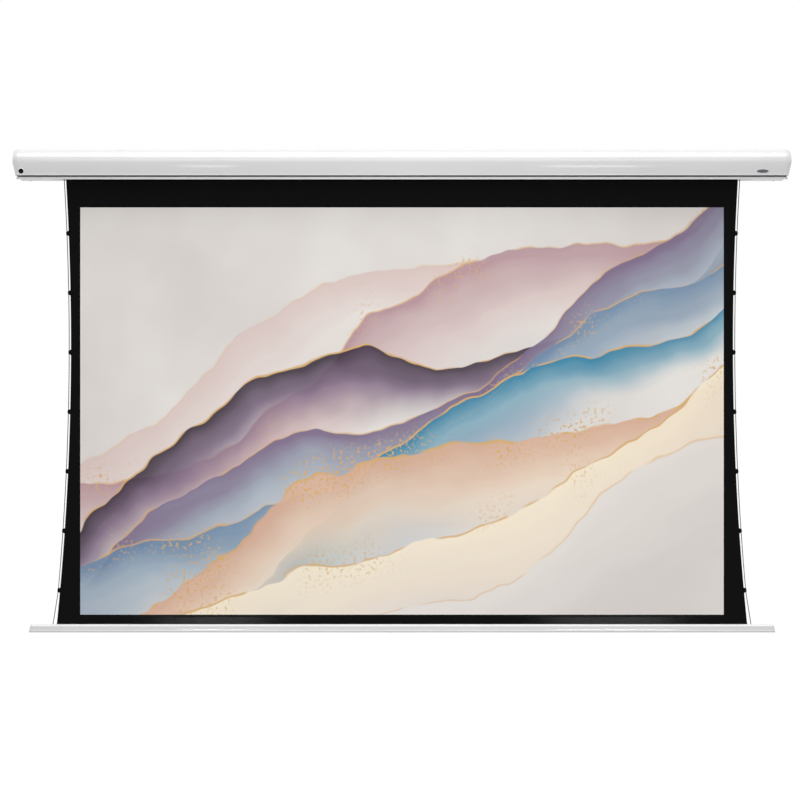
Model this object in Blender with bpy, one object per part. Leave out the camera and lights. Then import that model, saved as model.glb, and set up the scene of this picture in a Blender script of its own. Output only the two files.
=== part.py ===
# Motorised projector screen with side tension strings, hung on a wall, screen let down
# Metres. +X to the viewer's right, the wall at y = 0, the viewer at -Y, +Z up.
# The origin is on the flat back of the case, halfway along it and halfway up.

import math

import bmesh
import bpy
from mathutils import Matrix, Vector

# Clearance between pieces that touch, seat or slide
FIT_GAP = 0.0003

# Case
CASE_HEIGHT = 0.116
CASE_DEPTH = 0.116
CASE_WALL = 0.002
HOOD_ARC_DEPTH = 0.054
HOOD_ARC_HEIGHT = 0.060
HOOD_TUCK = 0.006
HOOD_EDGE_LIFT = 0.0085
HOOD_RETURN = 0.006
LIP_SETBACK = 0.019
UPSTAND_SETBACK = 0.036
PANEL_HOOK_SETBACK = 0.0095
RIB_SIZE = 0.010
RIB_FROM_WALL = 0.030

# Hanging rail in the back of the case, and the hooks in it
RAIL_BELOW_TOP = 0.008
RAIL_HEIGHT = 0.040
RAIL_DEPTH = 0.0036
RAIL_LIP_HEIGHT = 0.010
RAIL_LIP_THICKNESS = 0.0015
BRACKET_WIDTH = 0.070
BRACKET_FROM_END = 0.396
BRACKET_HOLE_SPACING = 0.040
BRACKET_HOLE_RADIUS = 0.0026

# Case ends
END_CAP_THICKNESS = 0.016
END_CAP_FOOT_THICKNESS = 0.004
END_CAP_SPIGOT = 0.0055
END_CAP_RIM = 0.003
END_CAP_ROUNDING = 0.003
SCREW_FLOOR = 0.003
SCREW_RADIUS = 0.0018
SCREW_HEAD_RADIUS = 0.0036
SCREW_HEAD_HEIGHT = 0.0021
SCREW_HEAD_SHOULDER = 0.0013
SCREW_HEAD_CROWN_RADIUS = 0.0020
SCREW_LENGTH = 0.012
PANEL_SCREW_INSET = 0.030

# Receiver, badge, control and mains inlet
WINDOW_FROM_END = 0.0335
WINDOW_RADIUS = 0.0095
WINDOW_THICKNESS = 0.0015
BEZEL_RING = 0.0012
BEZEL_FLANGE = 0.0010
BEZEL_PROUD = 0.0008
BEZEL_DEPTH = 0.0035
FITTING_ABOVE_EDGE = 0.014
BOARD_SIZE = (0.020, 0.016, 0.0016)
BADGE_FROM_END = 0.114
BADGE_LENGTH = 0.046
BADGE_HEIGHT = 0.013
BADGE_THICKNESS = 0.0010
CONTROL_SIZE = (0.038, 0.058, 0.070)
CONTROL_CHAMFER = 0.002
INLET_SIZE = (0.022, 0.015)
INLET_SOCKET = (0.0165, 0.0095)
INLET_SOCKET_DEPTH = 0.012
INLET_WALL_BEHIND = 0.002
INLET_RECESS = 0.0006
INLET_FROM_WALL = 0.034
INLET_ABOVE_MIDDLE = 0.016

# Roller
SHEET_FROM_FRONT = 0.076
ROLL_RADIUS = 0.033
ROLL_ABOVE_MIDDLE = 0.004
TUBE_RADIUS = 0.0305
TUBE_WALL = 0.0015
TUBE_PAST_STRING = 0.010
PLATE_PAST_TUBE = 0.062
PLATE_THICKNESS = 0.004
CASE_PAST_PLATE = 0.072
MOTOR_RADIUS = 0.0225
MOTOR_HEAD_RADIUS = 0.028
MOTOR_HEAD_GAP = 0.0035
MOTOR_LENGTH = 0.600
MOTOR_KEY_HALF = 0.007
CROWN_LENGTH = 0.015
DRIVE_WHEEL_LENGTH = 0.025
PLUG_LENGTH = 0.028
PIN_RADIUS = 0.006
PIN_SEAT = 0.024
BUSH_WALL = 0.0045
BUSH_FLANGE_RADIUS = 0.014
BUSH_FLANGE_THICKNESS = 0.003

# Sheet
VIEW_WIDTH = 2.585
VIEW_HEIGHT = 1.636
TOP_DROP = 0.1124
BOTTOM_BORDER = 0.0377
SHEET_THICKNESS = 0.0006
WAIST_BORDER = 0.0375
FLARE_AT_CASE = 0.020
FLARE_AT_BAR = 0.057
EDGE_STEP = 0.060

# Side strings and their tabs
STRING_RADIUS = 0.0013
STRING_FROM_EDGE = 0.0070
STRING_FROM_EDGE_AT_BAR = 0.015
STRING_STEP = 0.060
TAB_COUNT = 7
FIRST_TAB_BELOW_CASE = 0.2164
LAST_TAB_ABOVE_BAR = 0.1357
TAB_BASE_HEIGHT = 0.022
TAB_TIP_HEIGHT = 0.011
TAB_REACH = 0.0105
TAB_THICKNESS = 0.0048

# Slot in the underside that the sheet and strings pass through
SLOT_WIDTH = 0.014
SLOT_PAST_STRING = 0.005

# Weight bar
BAR_PAST_STRING = 0.095
BAR_HEIGHT = 0.032
BAR_DEPTH = 0.030
BAR_WALL = 0.002
BAR_TOP_RADIUS = 0.009
BAR_FOOT_RADIUS = 0.004
BAR_SLOT = 0.0036
BAR_CAP_FOOT = 0.010
BAR_CAP_TOP = 0.003
BAR_CAP_SPIGOT = 0.012
BAR_CAP_ROUNDING = 0.0012
HEM_ROD_RADIUS = 0.004
WEIGHT_ROD_RADIUS = 0.008
ROD_SHORT_OF_STRING = 0.020
ANCHOR_RADIUS = 0.005
ANCHOR_HEIGHT = 0.014
ANCHOR_BORE_DEPTH = 0.008

# Roundness
ROUND_SIDES = 40
SMALL_SIDES = 16
CORNER_STEPS = 4
HOOD_STEPS = 10
RIM_STEPS = 2
SMOOTH_UNDER_DEG = 35

# Widths that follow from the picture's width, each as far as one side of the middle
WAIST_HALF = VIEW_WIDTH / 2 + WAIST_BORDER
STRING_HALF_AT_BAR = WAIST_HALF + FLARE_AT_BAR + STRING_FROM_EDGE_AT_BAR
TUBE_HALF = STRING_HALF_AT_BAR + TUBE_PAST_STRING
PLATE_FROM_CENTRE = TUBE_HALF + PLATE_PAST_TUBE
CASE_HALF = PLATE_FROM_CENTRE + CASE_PAST_PLATE
SEAM_X = CASE_HALF - END_CAP_THICKNESS
BAR_BODY_HALF = STRING_HALF_AT_BAR + BAR_PAST_STRING - BAR_CAP_FOOT

# Places that follow from the sizes
TOP_Z = CASE_HEIGHT / 2
UNDER_Z = -CASE_HEIGHT / 2
HOOD_EDGE_Z = UNDER_Z + HOOD_EDGE_LIFT
HOOD_BREAK_Z = TOP_Z - HOOD_ARC_HEIGHT
HOOD_EDGE_Y = -CASE_DEPTH + HOOD_TUCK
RAIL_TOP = TOP_Z - RAIL_BELOW_TOP
RAIL_BOTTOM = RAIL_TOP - RAIL_HEIGHT
PANEL_TOP_Z = UNDER_Z + CASE_WALL
RIB_BOTTOM_Z = PANEL_TOP_Z + FIT_GAP
RIB_TOP_Z = RIB_BOTTOM_Z + RIB_SIZE
HOOK_Z = HOOD_EDGE_Z + CASE_WALL + FIT_GAP
HOOK_TOP_Z = HOOK_Z + CASE_WALL
SHEET_Y = -CASE_DEPTH + SHEET_FROM_FRONT
SHEET_FRONT_Y = SHEET_Y - SHEET_THICKNESS / 2
ROLL_Y = SHEET_FRONT_Y - FIT_GAP - ROLL_RADIUS
ROLL_Z = ROLL_ABOVE_MIDDLE
DRUM_RADIUS = SHEET_Y - STRING_RADIUS - FIT_GAP - ROLL_Y
VIEW_TOP_Z = UNDER_Z - TOP_DROP
VIEW_BOTTOM_Z = VIEW_TOP_Z - VIEW_HEIGHT
BAR_TOP_Z = VIEW_BOTTOM_Z - BOTTOM_BORDER
BAR_BOTTOM_Z = BAR_TOP_Z - BAR_HEIGHT
FIRST_TAB_Z = UNDER_Z - FIRST_TAB_BELOW_CASE
TAB_PITCH = (FIRST_TAB_Z - BAR_TOP_Z - LAST_TAB_ABOVE_BAR) / (TAB_COUNT - 1)
EDGE_CURVE = (
    (math.sqrt(FLARE_AT_CASE) + math.sqrt(FLARE_AT_BAR)) / (UNDER_Z - BAR_TOP_Z)
) ** 2
WAIST_Z = UNDER_Z - math.sqrt(FLARE_AT_CASE / EDGE_CURVE)
SIDES = (("left", -1), ("right", 1))


# Scene and mesh helpers


def clear_scene():
    for obj in list(bpy.data.objects):
        bpy.data.objects.remove(obj, do_unlink=True)


def make_material(name, colour, roughness, metallic=0.0):
    mat = bpy.data.materials.new(name)
    mat.use_nodes = True
    shader = mat.node_tree.nodes["Principled BSDF"]
    shader.inputs["Base Color"].default_value = (*colour, 1.0)
    shader.inputs["Roughness"].default_value = roughness
    shader.inputs["Metallic"].default_value = metallic
    return mat


def add_object(name, bm, origin=(0, 0, 0), parent=None):
    bmesh.ops.recalc_face_normals(bm, faces=bm.faces)
    bmesh.ops.translate(bm, verts=bm.verts, vec=-Vector(origin))
    mesh = bpy.data.meshes.new(name)
    bm.to_mesh(mesh)
    bm.free()
    obj = bpy.data.objects.new(name, mesh)
    bpy.context.scene.collection.objects.link(obj)
    place_object(obj, origin, parent)
    return obj


def place_object(obj, origin, parent):
    if parent:
        obj.parent = parent
        obj.location = Vector(origin) - parent.location
    else:
        obj.location = origin


def add_piece(name, bm, mat, origin=(0, 0, 0), parent=None):
    obj = add_object(name, bm, origin, parent)
    obj.data.materials.append(mat)
    obj.data.shade_smooth()
    obj.data.set_sharp_from_angle(angle=math.radians(SMOOTH_UNDER_DEG))
    return obj


def add_empty(name, location):
    empty = bpy.data.objects.new(name, None)
    empty.location = location
    empty.empty_display_size = 0.1
    bpy.context.scene.collection.objects.link(empty)
    return empty


def combine(obj, bm, operation):
    tool = add_object(f"{obj.name}_{operation.lower()}", bm)
    tool.hide_render = True
    tool.display_type = "WIRE"
    modifier = obj.modifiers.new(operation.title(), "BOOLEAN")
    modifier.operation = operation
    modifier.solver = "EXACT"
    modifier.object = tool


def prism(loops, start, end, axis="X"):
    places = {
        "X": lambda a, b: (start, a, b),
        "Y": lambda a, b: (a, start, b),
        "Z": lambda a, b: (a, b, start),
    }
    bm = bmesh.new()
    edges = []
    for loop in loops:
        verts = [bm.verts.new(places[axis](a, b)) for a, b in loop]
        edges += [bm.edges.new((verts[i - 1], verts[i])) for i in range(len(verts))]
    bmesh.ops.triangle_fill(bm, edges=edges, use_beauty=True)
    grown = bmesh.ops.extrude_face_region(bm, geom=list(bm.faces), use_keep_orig=True)
    moved = [v for v in grown["geom"] if isinstance(v, bmesh.types.BMVert)]
    step = Vector([end - start if axis == name else 0 for name in "XYZ"])
    bmesh.ops.translate(bm, verts=moved, vec=step)
    return bm


def loft(sections):
    # skins rows of the same number of points and closes both ends
    bm = bmesh.new()
    rows = [[bm.verts.new(point) for point in section] for section in sections]
    for near, far in zip(rows, rows[1:]):
        for i in range(len(near)):
            bm.faces.new((near[i - 1], near[i], far[i], far[i - 1]))
    bm.faces.new(rows[0])
    bm.faces.new(rows[-1])
    return bm


def join_meshes(first, *others):
    for other in others:
        mesh = bpy.data.meshes.new("joined")
        other.to_mesh(mesh)
        other.free()
        first.from_mesh(mesh)
        bpy.data.meshes.remove(mesh)
    return first


def circle(radius, centre=(0, 0), sides=ROUND_SIDES):
    angles = [2 * math.pi * i / sides for i in range(sides)]
    return [(centre[0] + radius * math.cos(a), centre[1] + radius * math.sin(a)) for a in angles]


def arc(centre, radii, first, last, steps):
    points = []
    for i in range(steps + 1):
        angle = math.radians(first + (last - first) * i / steps)
        points.append(
            (centre[0] + radii[0] * math.cos(angle), centre[1] + radii[1] * math.sin(angle))
        )
    return points


def rectangle(centre, size):
    a, b = size[0] / 2, size[1] / 2
    corners = ((-a, -b), (a, -b), (a, b), (-a, b))
    return [(centre[0] + x, centre[1] + y) for x, y in corners]


def block(centre, size):
    bm = bmesh.new()
    bmesh.ops.create_cube(bm, size=1.0)
    bmesh.ops.scale(bm, verts=bm.verts, vec=size)
    bmesh.ops.translate(bm, verts=bm.verts, vec=centre)
    return bm


def turned(profile, sides, centre=(0, 0)):
    # profile is a list of (x, radius), turned about X
    bm = bmesh.new()
    verts = [bm.verts.new((x, 0, radius)) for x, radius in profile]
    edges = [bm.edges.new((verts[i], verts[i + 1])) for i in range(len(verts) - 1)]
    if profile[0][1] > 0 and profile[-1][1] > 0:
        edges.append(bm.edges.new((verts[-1], verts[0])))
    bmesh.ops.spin(
        bm,
        geom=verts + edges,
        cent=(0, 0, 0),
        axis=(1, 0, 0),
        angle=2 * math.pi,
        steps=sides,
        use_merge=True,
    )
    bmesh.ops.remove_doubles(bm, verts=bm.verts, dist=1e-6)
    bmesh.ops.translate(bm, verts=bm.verts, vec=(0, centre[0], centre[1]))
    return bm


def ring(start, end, outer, inner):
    return [(start, inner), (start, outer), (end, outer), (end, inner)]


# Case outline


def hood_curve(inset):
    # from the break in the front, over the arc, to the flat top
    centre = (-CASE_DEPTH + HOOD_ARC_DEPTH, HOOD_BREAK_Z)
    radii = (HOOD_ARC_DEPTH - inset, HOOD_ARC_HEIGHT - inset)
    return arc(centre, radii, 180, 90, HOOD_STEPS)


def front_y(z, inset=0.0):
    # depth of the straight lower part of the hood at this height
    share = (HOOD_BREAK_Z - z) / (HOOD_BREAK_Z - HOOD_EDGE_Z)
    return -CASE_DEPTH + inset + HOOD_TUCK * share


def shell_profile():
    wall = CASE_WALL
    lip_z = RAIL_TOP - RAIL_LIP_HEIGHT
    rail_y = -RAIL_DEPTH
    return_y = HOOD_EDGE_Y + HOOD_RETURN
    rib_y = -RIB_FROM_WALL
    outer = [(HOOD_EDGE_Y, HOOD_EDGE_Z)] + hood_curve(0)
    back = [
        (0, TOP_Z),
        (0, lip_z),
        (-RAIL_LIP_THICKNESS, lip_z),
        (-RAIL_LIP_THICKNESS, RAIL_TOP),
        (rail_y, RAIL_TOP),
        (rail_y, RAIL_BOTTOM),
        (0, RAIL_BOTTOM),
        (0, UNDER_Z),
        (-wall, UNDER_Z),
        (-wall, RIB_BOTTOM_Z),
        (-wall - RIB_SIZE, RIB_BOTTOM_Z),
        (-wall - RIB_SIZE, RIB_TOP_Z),
        (-wall, RIB_TOP_Z),
        (-wall, RAIL_BOTTOM - wall),
        (rail_y - wall, RAIL_BOTTOM - wall),
        (rail_y - wall, RAIL_TOP + wall),
        (-wall, RAIL_TOP + wall),
        (-wall, TOP_Z - wall),
        (rib_y, TOP_Z - wall),
        (rib_y, TOP_Z - wall - RIB_SIZE),
        (rib_y - RIB_SIZE, TOP_Z - wall - RIB_SIZE),
        (rib_y - RIB_SIZE, TOP_Z - wall),
    ]
    inner = hood_curve(wall)[::-1]
    foot = [
        (front_y(HOOD_EDGE_Z + wall, wall), HOOD_EDGE_Z + wall),
        (return_y, HOOD_EDGE_Z + wall),
        (return_y, HOOD_EDGE_Z),
    ]
    return outer + back + inner + foot


def inside_profile(inset, bottom):
    # what fits inside the shell, clear of it by the inset, down to this height
    rear = -RAIL_DEPTH - CASE_WALL - inset
    under_rib = TOP_Z - CASE_WALL - RIB_SIZE - inset
    top = TOP_Z - CASE_WALL - inset
    rib_front = -RIB_FROM_WALL - RIB_SIZE - inset
    curve = hood_curve(CASE_WALL + inset)[::-1]
    return [
        (rear, bottom),
        (rear, under_rib),
        (rib_front, under_rib),
        (rib_front, top),
        *curve,
        (front_y(bottom, CASE_WALL + inset), bottom),
    ]


def rib_centres():
    upper = (-RIB_FROM_WALL - RIB_SIZE / 2, TOP_Z - CASE_WALL - RIB_SIZE / 2)
    lower = (-CASE_WALL - RIB_SIZE / 2, (RIB_BOTTOM_Z + RIB_TOP_Z) / 2)
    return {"top": upper, "low": lower}


def on_hood(x, z):
    # a frame on the hood's lower front whose +Z is the outward normal
    slope = math.atan2(HOOD_TUCK, HOOD_BREAK_Z - HOOD_EDGE_Z)
    turn = Matrix.Rotation(math.radians(90) + slope, 4, "X")
    return Matrix.Translation((x, front_y(z), z)) @ turn


# Case pieces


def window_frame():
    return on_hood(-CASE_HALF + WINDOW_FROM_END, HOOD_EDGE_Z + FITTING_ABOVE_EDGE)


def screw_hole(x_from, x_to, centre, radius):
    return prism([circle(radius, centre, SMALL_SIDES)], x_from, x_to)


def make_case_shell(paint):
    shell = add_piece("case_shell", prism([shell_profile()], -SEAM_X, SEAM_X), paint)
    window = prism(
        [circle(WINDOW_RADIUS + FIT_GAP + BEZEL_RING + FIT_GAP)], -BEZEL_DEPTH, BEZEL_DEPTH, "Z"
    )
    bmesh.ops.transform(window, matrix=window_frame(), verts=window.verts)
    tools = [window]
    for centre in rib_centres().values():
        for _, side in SIDES:
            ends = sorted((side * (SEAM_X - SCREW_LENGTH), side * (SEAM_X + SCREW_FLOOR)))
            tools.append(screw_hole(*ends, centre, SCREW_RADIUS + FIT_GAP))
    for _, side in SIDES:
        tools.append(panel_screw_tool(side, RIB_BOTTOM_Z - CASE_WALL))
    combine(shell, join_meshes(*tools), "DIFFERENCE")


def panel_screw_tool(side, bottom):
    x = side * (SEAM_X - PANEL_SCREW_INSET)
    y = rib_centres()["low"][0]
    top = UNDER_Z + SCREW_LENGTH - SCREW_HEAD_HEIGHT
    return prism([circle(SCREW_RADIUS + FIT_GAP, (x, y), SMALL_SIDES)], bottom, top, "Z")


def make_bottom_panel(paint):
    half = SEAM_X - FIT_GAP
    lip_y = -CASE_DEPTH + LIP_SETBACK
    upstand_y = -CASE_DEPTH + UPSTAND_SETBACK
    hook_y = -CASE_DEPTH + PANEL_HOOK_SETBACK
    rear_y = -CASE_WALL - FIT_GAP
    profile = [
        (lip_y, UNDER_Z),
        (rear_y, UNDER_Z),
        (rear_y, PANEL_TOP_Z),
        (upstand_y + CASE_WALL, PANEL_TOP_Z),
        (upstand_y + CASE_WALL, HOOK_TOP_Z),
        (hook_y, HOOK_TOP_Z),
        (hook_y, HOOK_Z),
        (upstand_y, HOOK_Z),
        (upstand_y, PANEL_TOP_Z),
        (lip_y, PANEL_TOP_Z),
    ]
    panel = add_piece("bottom_panel", prism([profile], -half, half), paint)
    slot_half = STRING_HALF_AT_BAR + STRING_RADIUS + SLOT_PAST_STRING
    slot = block((0, SHEET_Y, UNDER_Z), (2 * slot_half, SLOT_WIDTH, 4 * CASE_WALL))
    holes = [panel_screw_tool(side, UNDER_Z - CASE_WALL) for _, side in SIDES]
    combine(panel, join_meshes(slot, *holes), "DIFFERENCE")


def cap_outline(inset):
    # the hood's edge and top are drawn in by the inset, the back and underside are not
    groove_y = -CASE_DEPTH + UPSTAND_SETBACK
    lip_y = -CASE_DEPTH + LIP_SETBACK
    return [
        (HOOD_EDGE_Y + inset, HOOD_EDGE_Z),
        *hood_curve(inset),
        (0, TOP_Z - inset),
        (0, HOOD_BREAK_Z),
        (0, UNDER_Z),
        (lip_y, UNDER_Z),
        (lip_y, PANEL_TOP_Z),
        (groove_y, PANEL_TOP_Z),
        (groove_y, HOOD_EDGE_Z),
    ]


def cap_reach(z):
    # thickness of the end cap's outer plate at this height
    if z >= HOOD_BREAK_Z:
        return END_CAP_THICKNESS
    share = (HOOD_BREAK_Z - z) / (HOOD_BREAK_Z - UNDER_Z)
    return END_CAP_THICKNESS + (END_CAP_FOOT_THICKNESS - END_CAP_THICKNESS) * share


def rounded_steps(radius):
    # how far each step of a rounded rim is from the face, and how far it is drawn in
    angles = [math.radians(90 * i / RIM_STEPS) for i in range(RIM_STEPS + 1)]
    return [(radius * (1 - math.sin(a)), radius * (1 - math.cos(a))) for a in angles]


def make_end_cap(name, side, plastic):
    seam = side * (SEAM_X + FIT_GAP)
    sections = [[(seam, y, z) for y, z in cap_outline(0)]]
    for back, inset in rounded_steps(END_CAP_ROUNDING):
        outline = cap_outline(inset)
        sections.append([(side * (SEAM_X + cap_reach(z) - back), y, z) for y, z in outline])
    plate = loft(sections)
    face_break = [v for v in plate.verts if abs(v.co.z - HOOD_BREAK_Z) < 1e-6]
    face_break = [v for v in face_break if abs(v.co.x - side * CASE_HALF) < 1e-6]
    bmesh.ops.connect_verts(plate, verts=face_break)
    cap = add_piece(name, plate, plastic)
    spigot_ends = (seam + side * END_CAP_FOOT_THICKNESS / 2, side * (SEAM_X - END_CAP_SPIGOT))
    bottom = HOOK_TOP_Z + FIT_GAP
    loops = [
        inside_profile(FIT_GAP, bottom),
        inside_profile(FIT_GAP + END_CAP_RIM, bottom + END_CAP_RIM),
    ]
    combine(cap, prism(loops, *spigot_ends), "UNION")
    past = side * (CASE_HALF + CASE_WALL)
    floor = side * (SEAM_X + SCREW_FLOOR)
    before = seam - side * CASE_WALL
    shanks = []
    heads = []
    for centre in rib_centres().values():
        shanks.append(screw_hole(before, past, centre, SCREW_RADIUS + FIT_GAP))
        heads.append(screw_hole(floor, past, centre, SCREW_HEAD_RADIUS + FIT_GAP))
    combine(cap, join_meshes(*shanks), "DIFFERENCE")
    combine(cap, join_meshes(*heads), "DIFFERENCE")
    if side < 0:
        size = [length + 2 * FIT_GAP for length in INLET_SIZE]
        hole = prism([rectangle(inlet_centre(), size)], before, past)
        combine(cap, hole, "DIFFERENCE")


def inlet_centre():
    return (-INLET_FROM_WALL, INLET_ABOVE_MIDDLE)


def make_screw(name, seat, direction, steel):
    # seat is where the underside of the head rests, direction points out of the hole
    profile = [
        (-SCREW_LENGTH + SCREW_HEAD_HEIGHT + FIT_GAP, 0),
        (-SCREW_LENGTH + SCREW_HEAD_HEIGHT + FIT_GAP, SCREW_RADIUS),
        (FIT_GAP, SCREW_RADIUS),
        (FIT_GAP, SCREW_HEAD_RADIUS),
        (SCREW_HEAD_SHOULDER, SCREW_HEAD_RADIUS),
        (SCREW_HEAD_HEIGHT, SCREW_HEAD_CROWN_RADIUS),
        (SCREW_HEAD_HEIGHT, 0),
    ]
    bm = turned(profile, SMALL_SIDES)
    turn = Vector((1, 0, 0)).rotation_difference(Vector(direction)).to_matrix().to_4x4()
    bmesh.ops.transform(bm, matrix=Matrix.Translation(seat) @ turn, verts=bm.verts)
    add_piece(name, bm, steel, seat)


def make_screws(steel):
    for word, side in SIDES:
        for place, (y, z) in rib_centres().items():
            seat = (side * (SEAM_X + SCREW_FLOOR), y, z)
            make_screw(f"end_cap_screw_{word}_{place}", seat, (side, 0, 0), steel)
        seat = (side * (SEAM_X - PANEL_SCREW_INSET), rib_centres()["low"][0], UNDER_Z)
        make_screw(f"panel_screw_{word}", seat, (0, 0, -1), steel)


def make_wall_brackets(steel):
    lip_z = RAIL_TOP - RAIL_LIP_HEIGHT
    deep = -RAIL_DEPTH + FIT_GAP
    tongue = -RAIL_LIP_THICKNESS - FIT_GAP
    profile = [
        (0, RAIL_BOTTOM + FIT_GAP),
        (0, lip_z - FIT_GAP),
        (tongue, lip_z - FIT_GAP),
        (tongue, RAIL_TOP - FIT_GAP),
        (deep, RAIL_TOP - FIT_GAP),
        (deep, RAIL_BOTTOM + FIT_GAP),
    ]
    middle_z = (RAIL_BOTTOM + lip_z) / 2
    for word, side in SIDES:
        x = side * (CASE_HALF - BRACKET_FROM_END)
        half = BRACKET_WIDTH / 2
        bracket = add_piece(f"wall_bracket_{word}", prism([profile], x - half, x + half), steel)
        holes = []
        for end in (-1, 1):
            centre = (x + end * BRACKET_HOLE_SPACING / 2, middle_z)
            outline = circle(BRACKET_HOLE_RADIUS, centre, SMALL_SIDES)
            holes.append(prism([outline], -2 * RAIL_DEPTH, RAIL_DEPTH, "Y"))
        combine(bracket, join_meshes(*holes), "DIFFERENCE")


# Receiver, badge, control and mains inlet


def add_on_frame(name, bm, frame, mat):
    bmesh.ops.transform(bm, matrix=frame, verts=bm.verts)
    add_piece(name, bm, mat, frame.to_translation())


def stand_up(bm):
    # turns a piece made about X to stand on +Z
    bmesh.ops.rotate(bm, verts=bm.verts, cent=(0, 0, 0), matrix=Matrix.Rotation(-math.pi / 2, 3, "Y"))
    return bm


def make_receiver(plastic, lens, board):
    frame = window_frame()
    inner = WINDOW_RADIUS + FIT_GAP
    outer = inner + BEZEL_RING
    profile = [
        (-BEZEL_DEPTH, inner),
        (-BEZEL_DEPTH, outer),
        (FIT_GAP, outer),
        (FIT_GAP, outer + BEZEL_FLANGE),
        (BEZEL_PROUD, outer + BEZEL_FLANGE / 2),
        (BEZEL_PROUD, inner),
    ]
    add_on_frame("ir_bezel", stand_up(turned(profile, ROUND_SIDES)), frame, plastic)
    disc = [
        (-WINDOW_THICKNESS, 0),
        (-WINDOW_THICKNESS, WINDOW_RADIUS),
        (0, WINDOW_RADIUS),
        (FIT_GAP, WINDOW_RADIUS - WINDOW_THICKNESS),
        (FIT_GAP, 0),
    ]
    add_on_frame("ir_window", stand_up(turned(disc, ROUND_SIDES)), frame, lens)
    length, height, thickness = BOARD_SIZE
    middle = -BEZEL_DEPTH - FIT_GAP - thickness / 2
    plate = block((0, 0, middle), (length, height, thickness))
    add_on_frame("receiver_board", plate, frame, board)


def make_badge(metal):
    frame = on_hood(CASE_HALF - BADGE_FROM_END, HOOD_EDGE_Z + FITTING_ABOVE_EDGE)
    radius = BADGE_HEIGHT / 2
    middle = BADGE_LENGTH / 2 - radius
    right = arc((middle, 0), (radius, radius), -90, 90, 2 * CORNER_STEPS)
    left = arc((-middle, 0), (radius, radius), 90, 270, 2 * CORNER_STEPS)
    bm = prism([right + left], FIT_GAP, FIT_GAP + BADGE_THICKNESS, "Z")
    add_on_frame("badge", bm, frame, metal)


def make_control_box(plastic):
    length, depth, height = CONTROL_SIZE
    rear = -RAIL_DEPTH - CASE_WALL - FIT_GAP
    left = -PLATE_FROM_CENTRE - PLATE_THICKNESS - FIT_GAP
    centre = (left - length / 2, rear - depth / 2, RIB_TOP_Z + FIT_GAP + height / 2)
    bm = block(centre, (length, depth, height))
    bmesh.ops.bevel(
        bm,
        geom=bm.edges[:],
        offset=CONTROL_CHAMFER,
        offset_type="OFFSET",
        affect="EDGES",
        segments=1,
        profile=0.5,
        material=-1,
    )
    add_piece("control_box", bm, plastic)


def make_power_inlet(plastic):
    face = -CASE_HALF + INLET_RECESS
    behind = face + INLET_SOCKET_DEPTH + INLET_WALL_BEHIND
    body = rectangle(inlet_centre(), INLET_SIZE)
    inlet = add_piece("power_inlet", prism([body], face, behind), plastic)
    socket = rectangle(inlet_centre(), INLET_SOCKET)
    socket_end = face + INLET_SOCKET_DEPTH
    combine(inlet, prism([socket], face - CASE_WALL, socket_end), "DIFFERENCE")


# Roller and what carries it


def make_brackets(steel, bronze):
    centre = (ROLL_Y, ROLL_Z)
    outline = inside_profile(FIT_GAP, HOOK_TOP_Z + FIT_GAP)
    near = PLATE_FROM_CENTRE
    far = near + PLATE_THICKNESS
    key = MOTOR_KEY_HALF + FIT_GAP
    key_hole = rectangle(centre, (2 * key, 2 * key))
    add_piece("motor_bracket", prism([outline, key_hole], -far, -near), steel)
    bush_inner = PIN_RADIUS + FIT_GAP
    bush_outer = bush_inner + BUSH_WALL
    bush_hole = circle(bush_outer + FIT_GAP, centre)
    add_piece("idler_bracket", prism([outline, bush_hole], near, far), steel)
    profile = [
        (near - FIT_GAP - BUSH_FLANGE_THICKNESS, bush_inner),
        (near - FIT_GAP - BUSH_FLANGE_THICKNESS, BUSH_FLANGE_RADIUS),
        (near - FIT_GAP, BUSH_FLANGE_RADIUS),
        (near - FIT_GAP, bush_outer),
        (far, bush_outer),
        (far, bush_inner),
    ]
    add_piece("idler_bush", turned(profile, ROUND_SIDES, centre), bronze)


def make_motor(plastic, steel):
    centre = (ROLL_Y, ROLL_Z)
    head_from = -PLATE_FROM_CENTRE + FIT_GAP
    head_to = -TUBE_HALF - MOTOR_HEAD_GAP
    outline = circle(MOTOR_HEAD_RADIUS, centre)
    head = add_piece("motor_head", prism([outline], head_from, head_to), plastic)
    key = rectangle(centre, (2 * MOTOR_KEY_HALF, 2 * MOTOR_KEY_HALF))
    key_from = -PLATE_FROM_CENTRE - PLATE_THICKNESS
    combine(head, prism([key], key_from, (head_from + head_to) / 2), "UNION")
    body_from = head_to + FIT_GAP
    add_piece(
        "motor_body",
        prism([circle(MOTOR_RADIUS, centre)], body_from, body_from + MOTOR_LENGTH),
        steel,
    )
    return body_from + MOTOR_LENGTH


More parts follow.
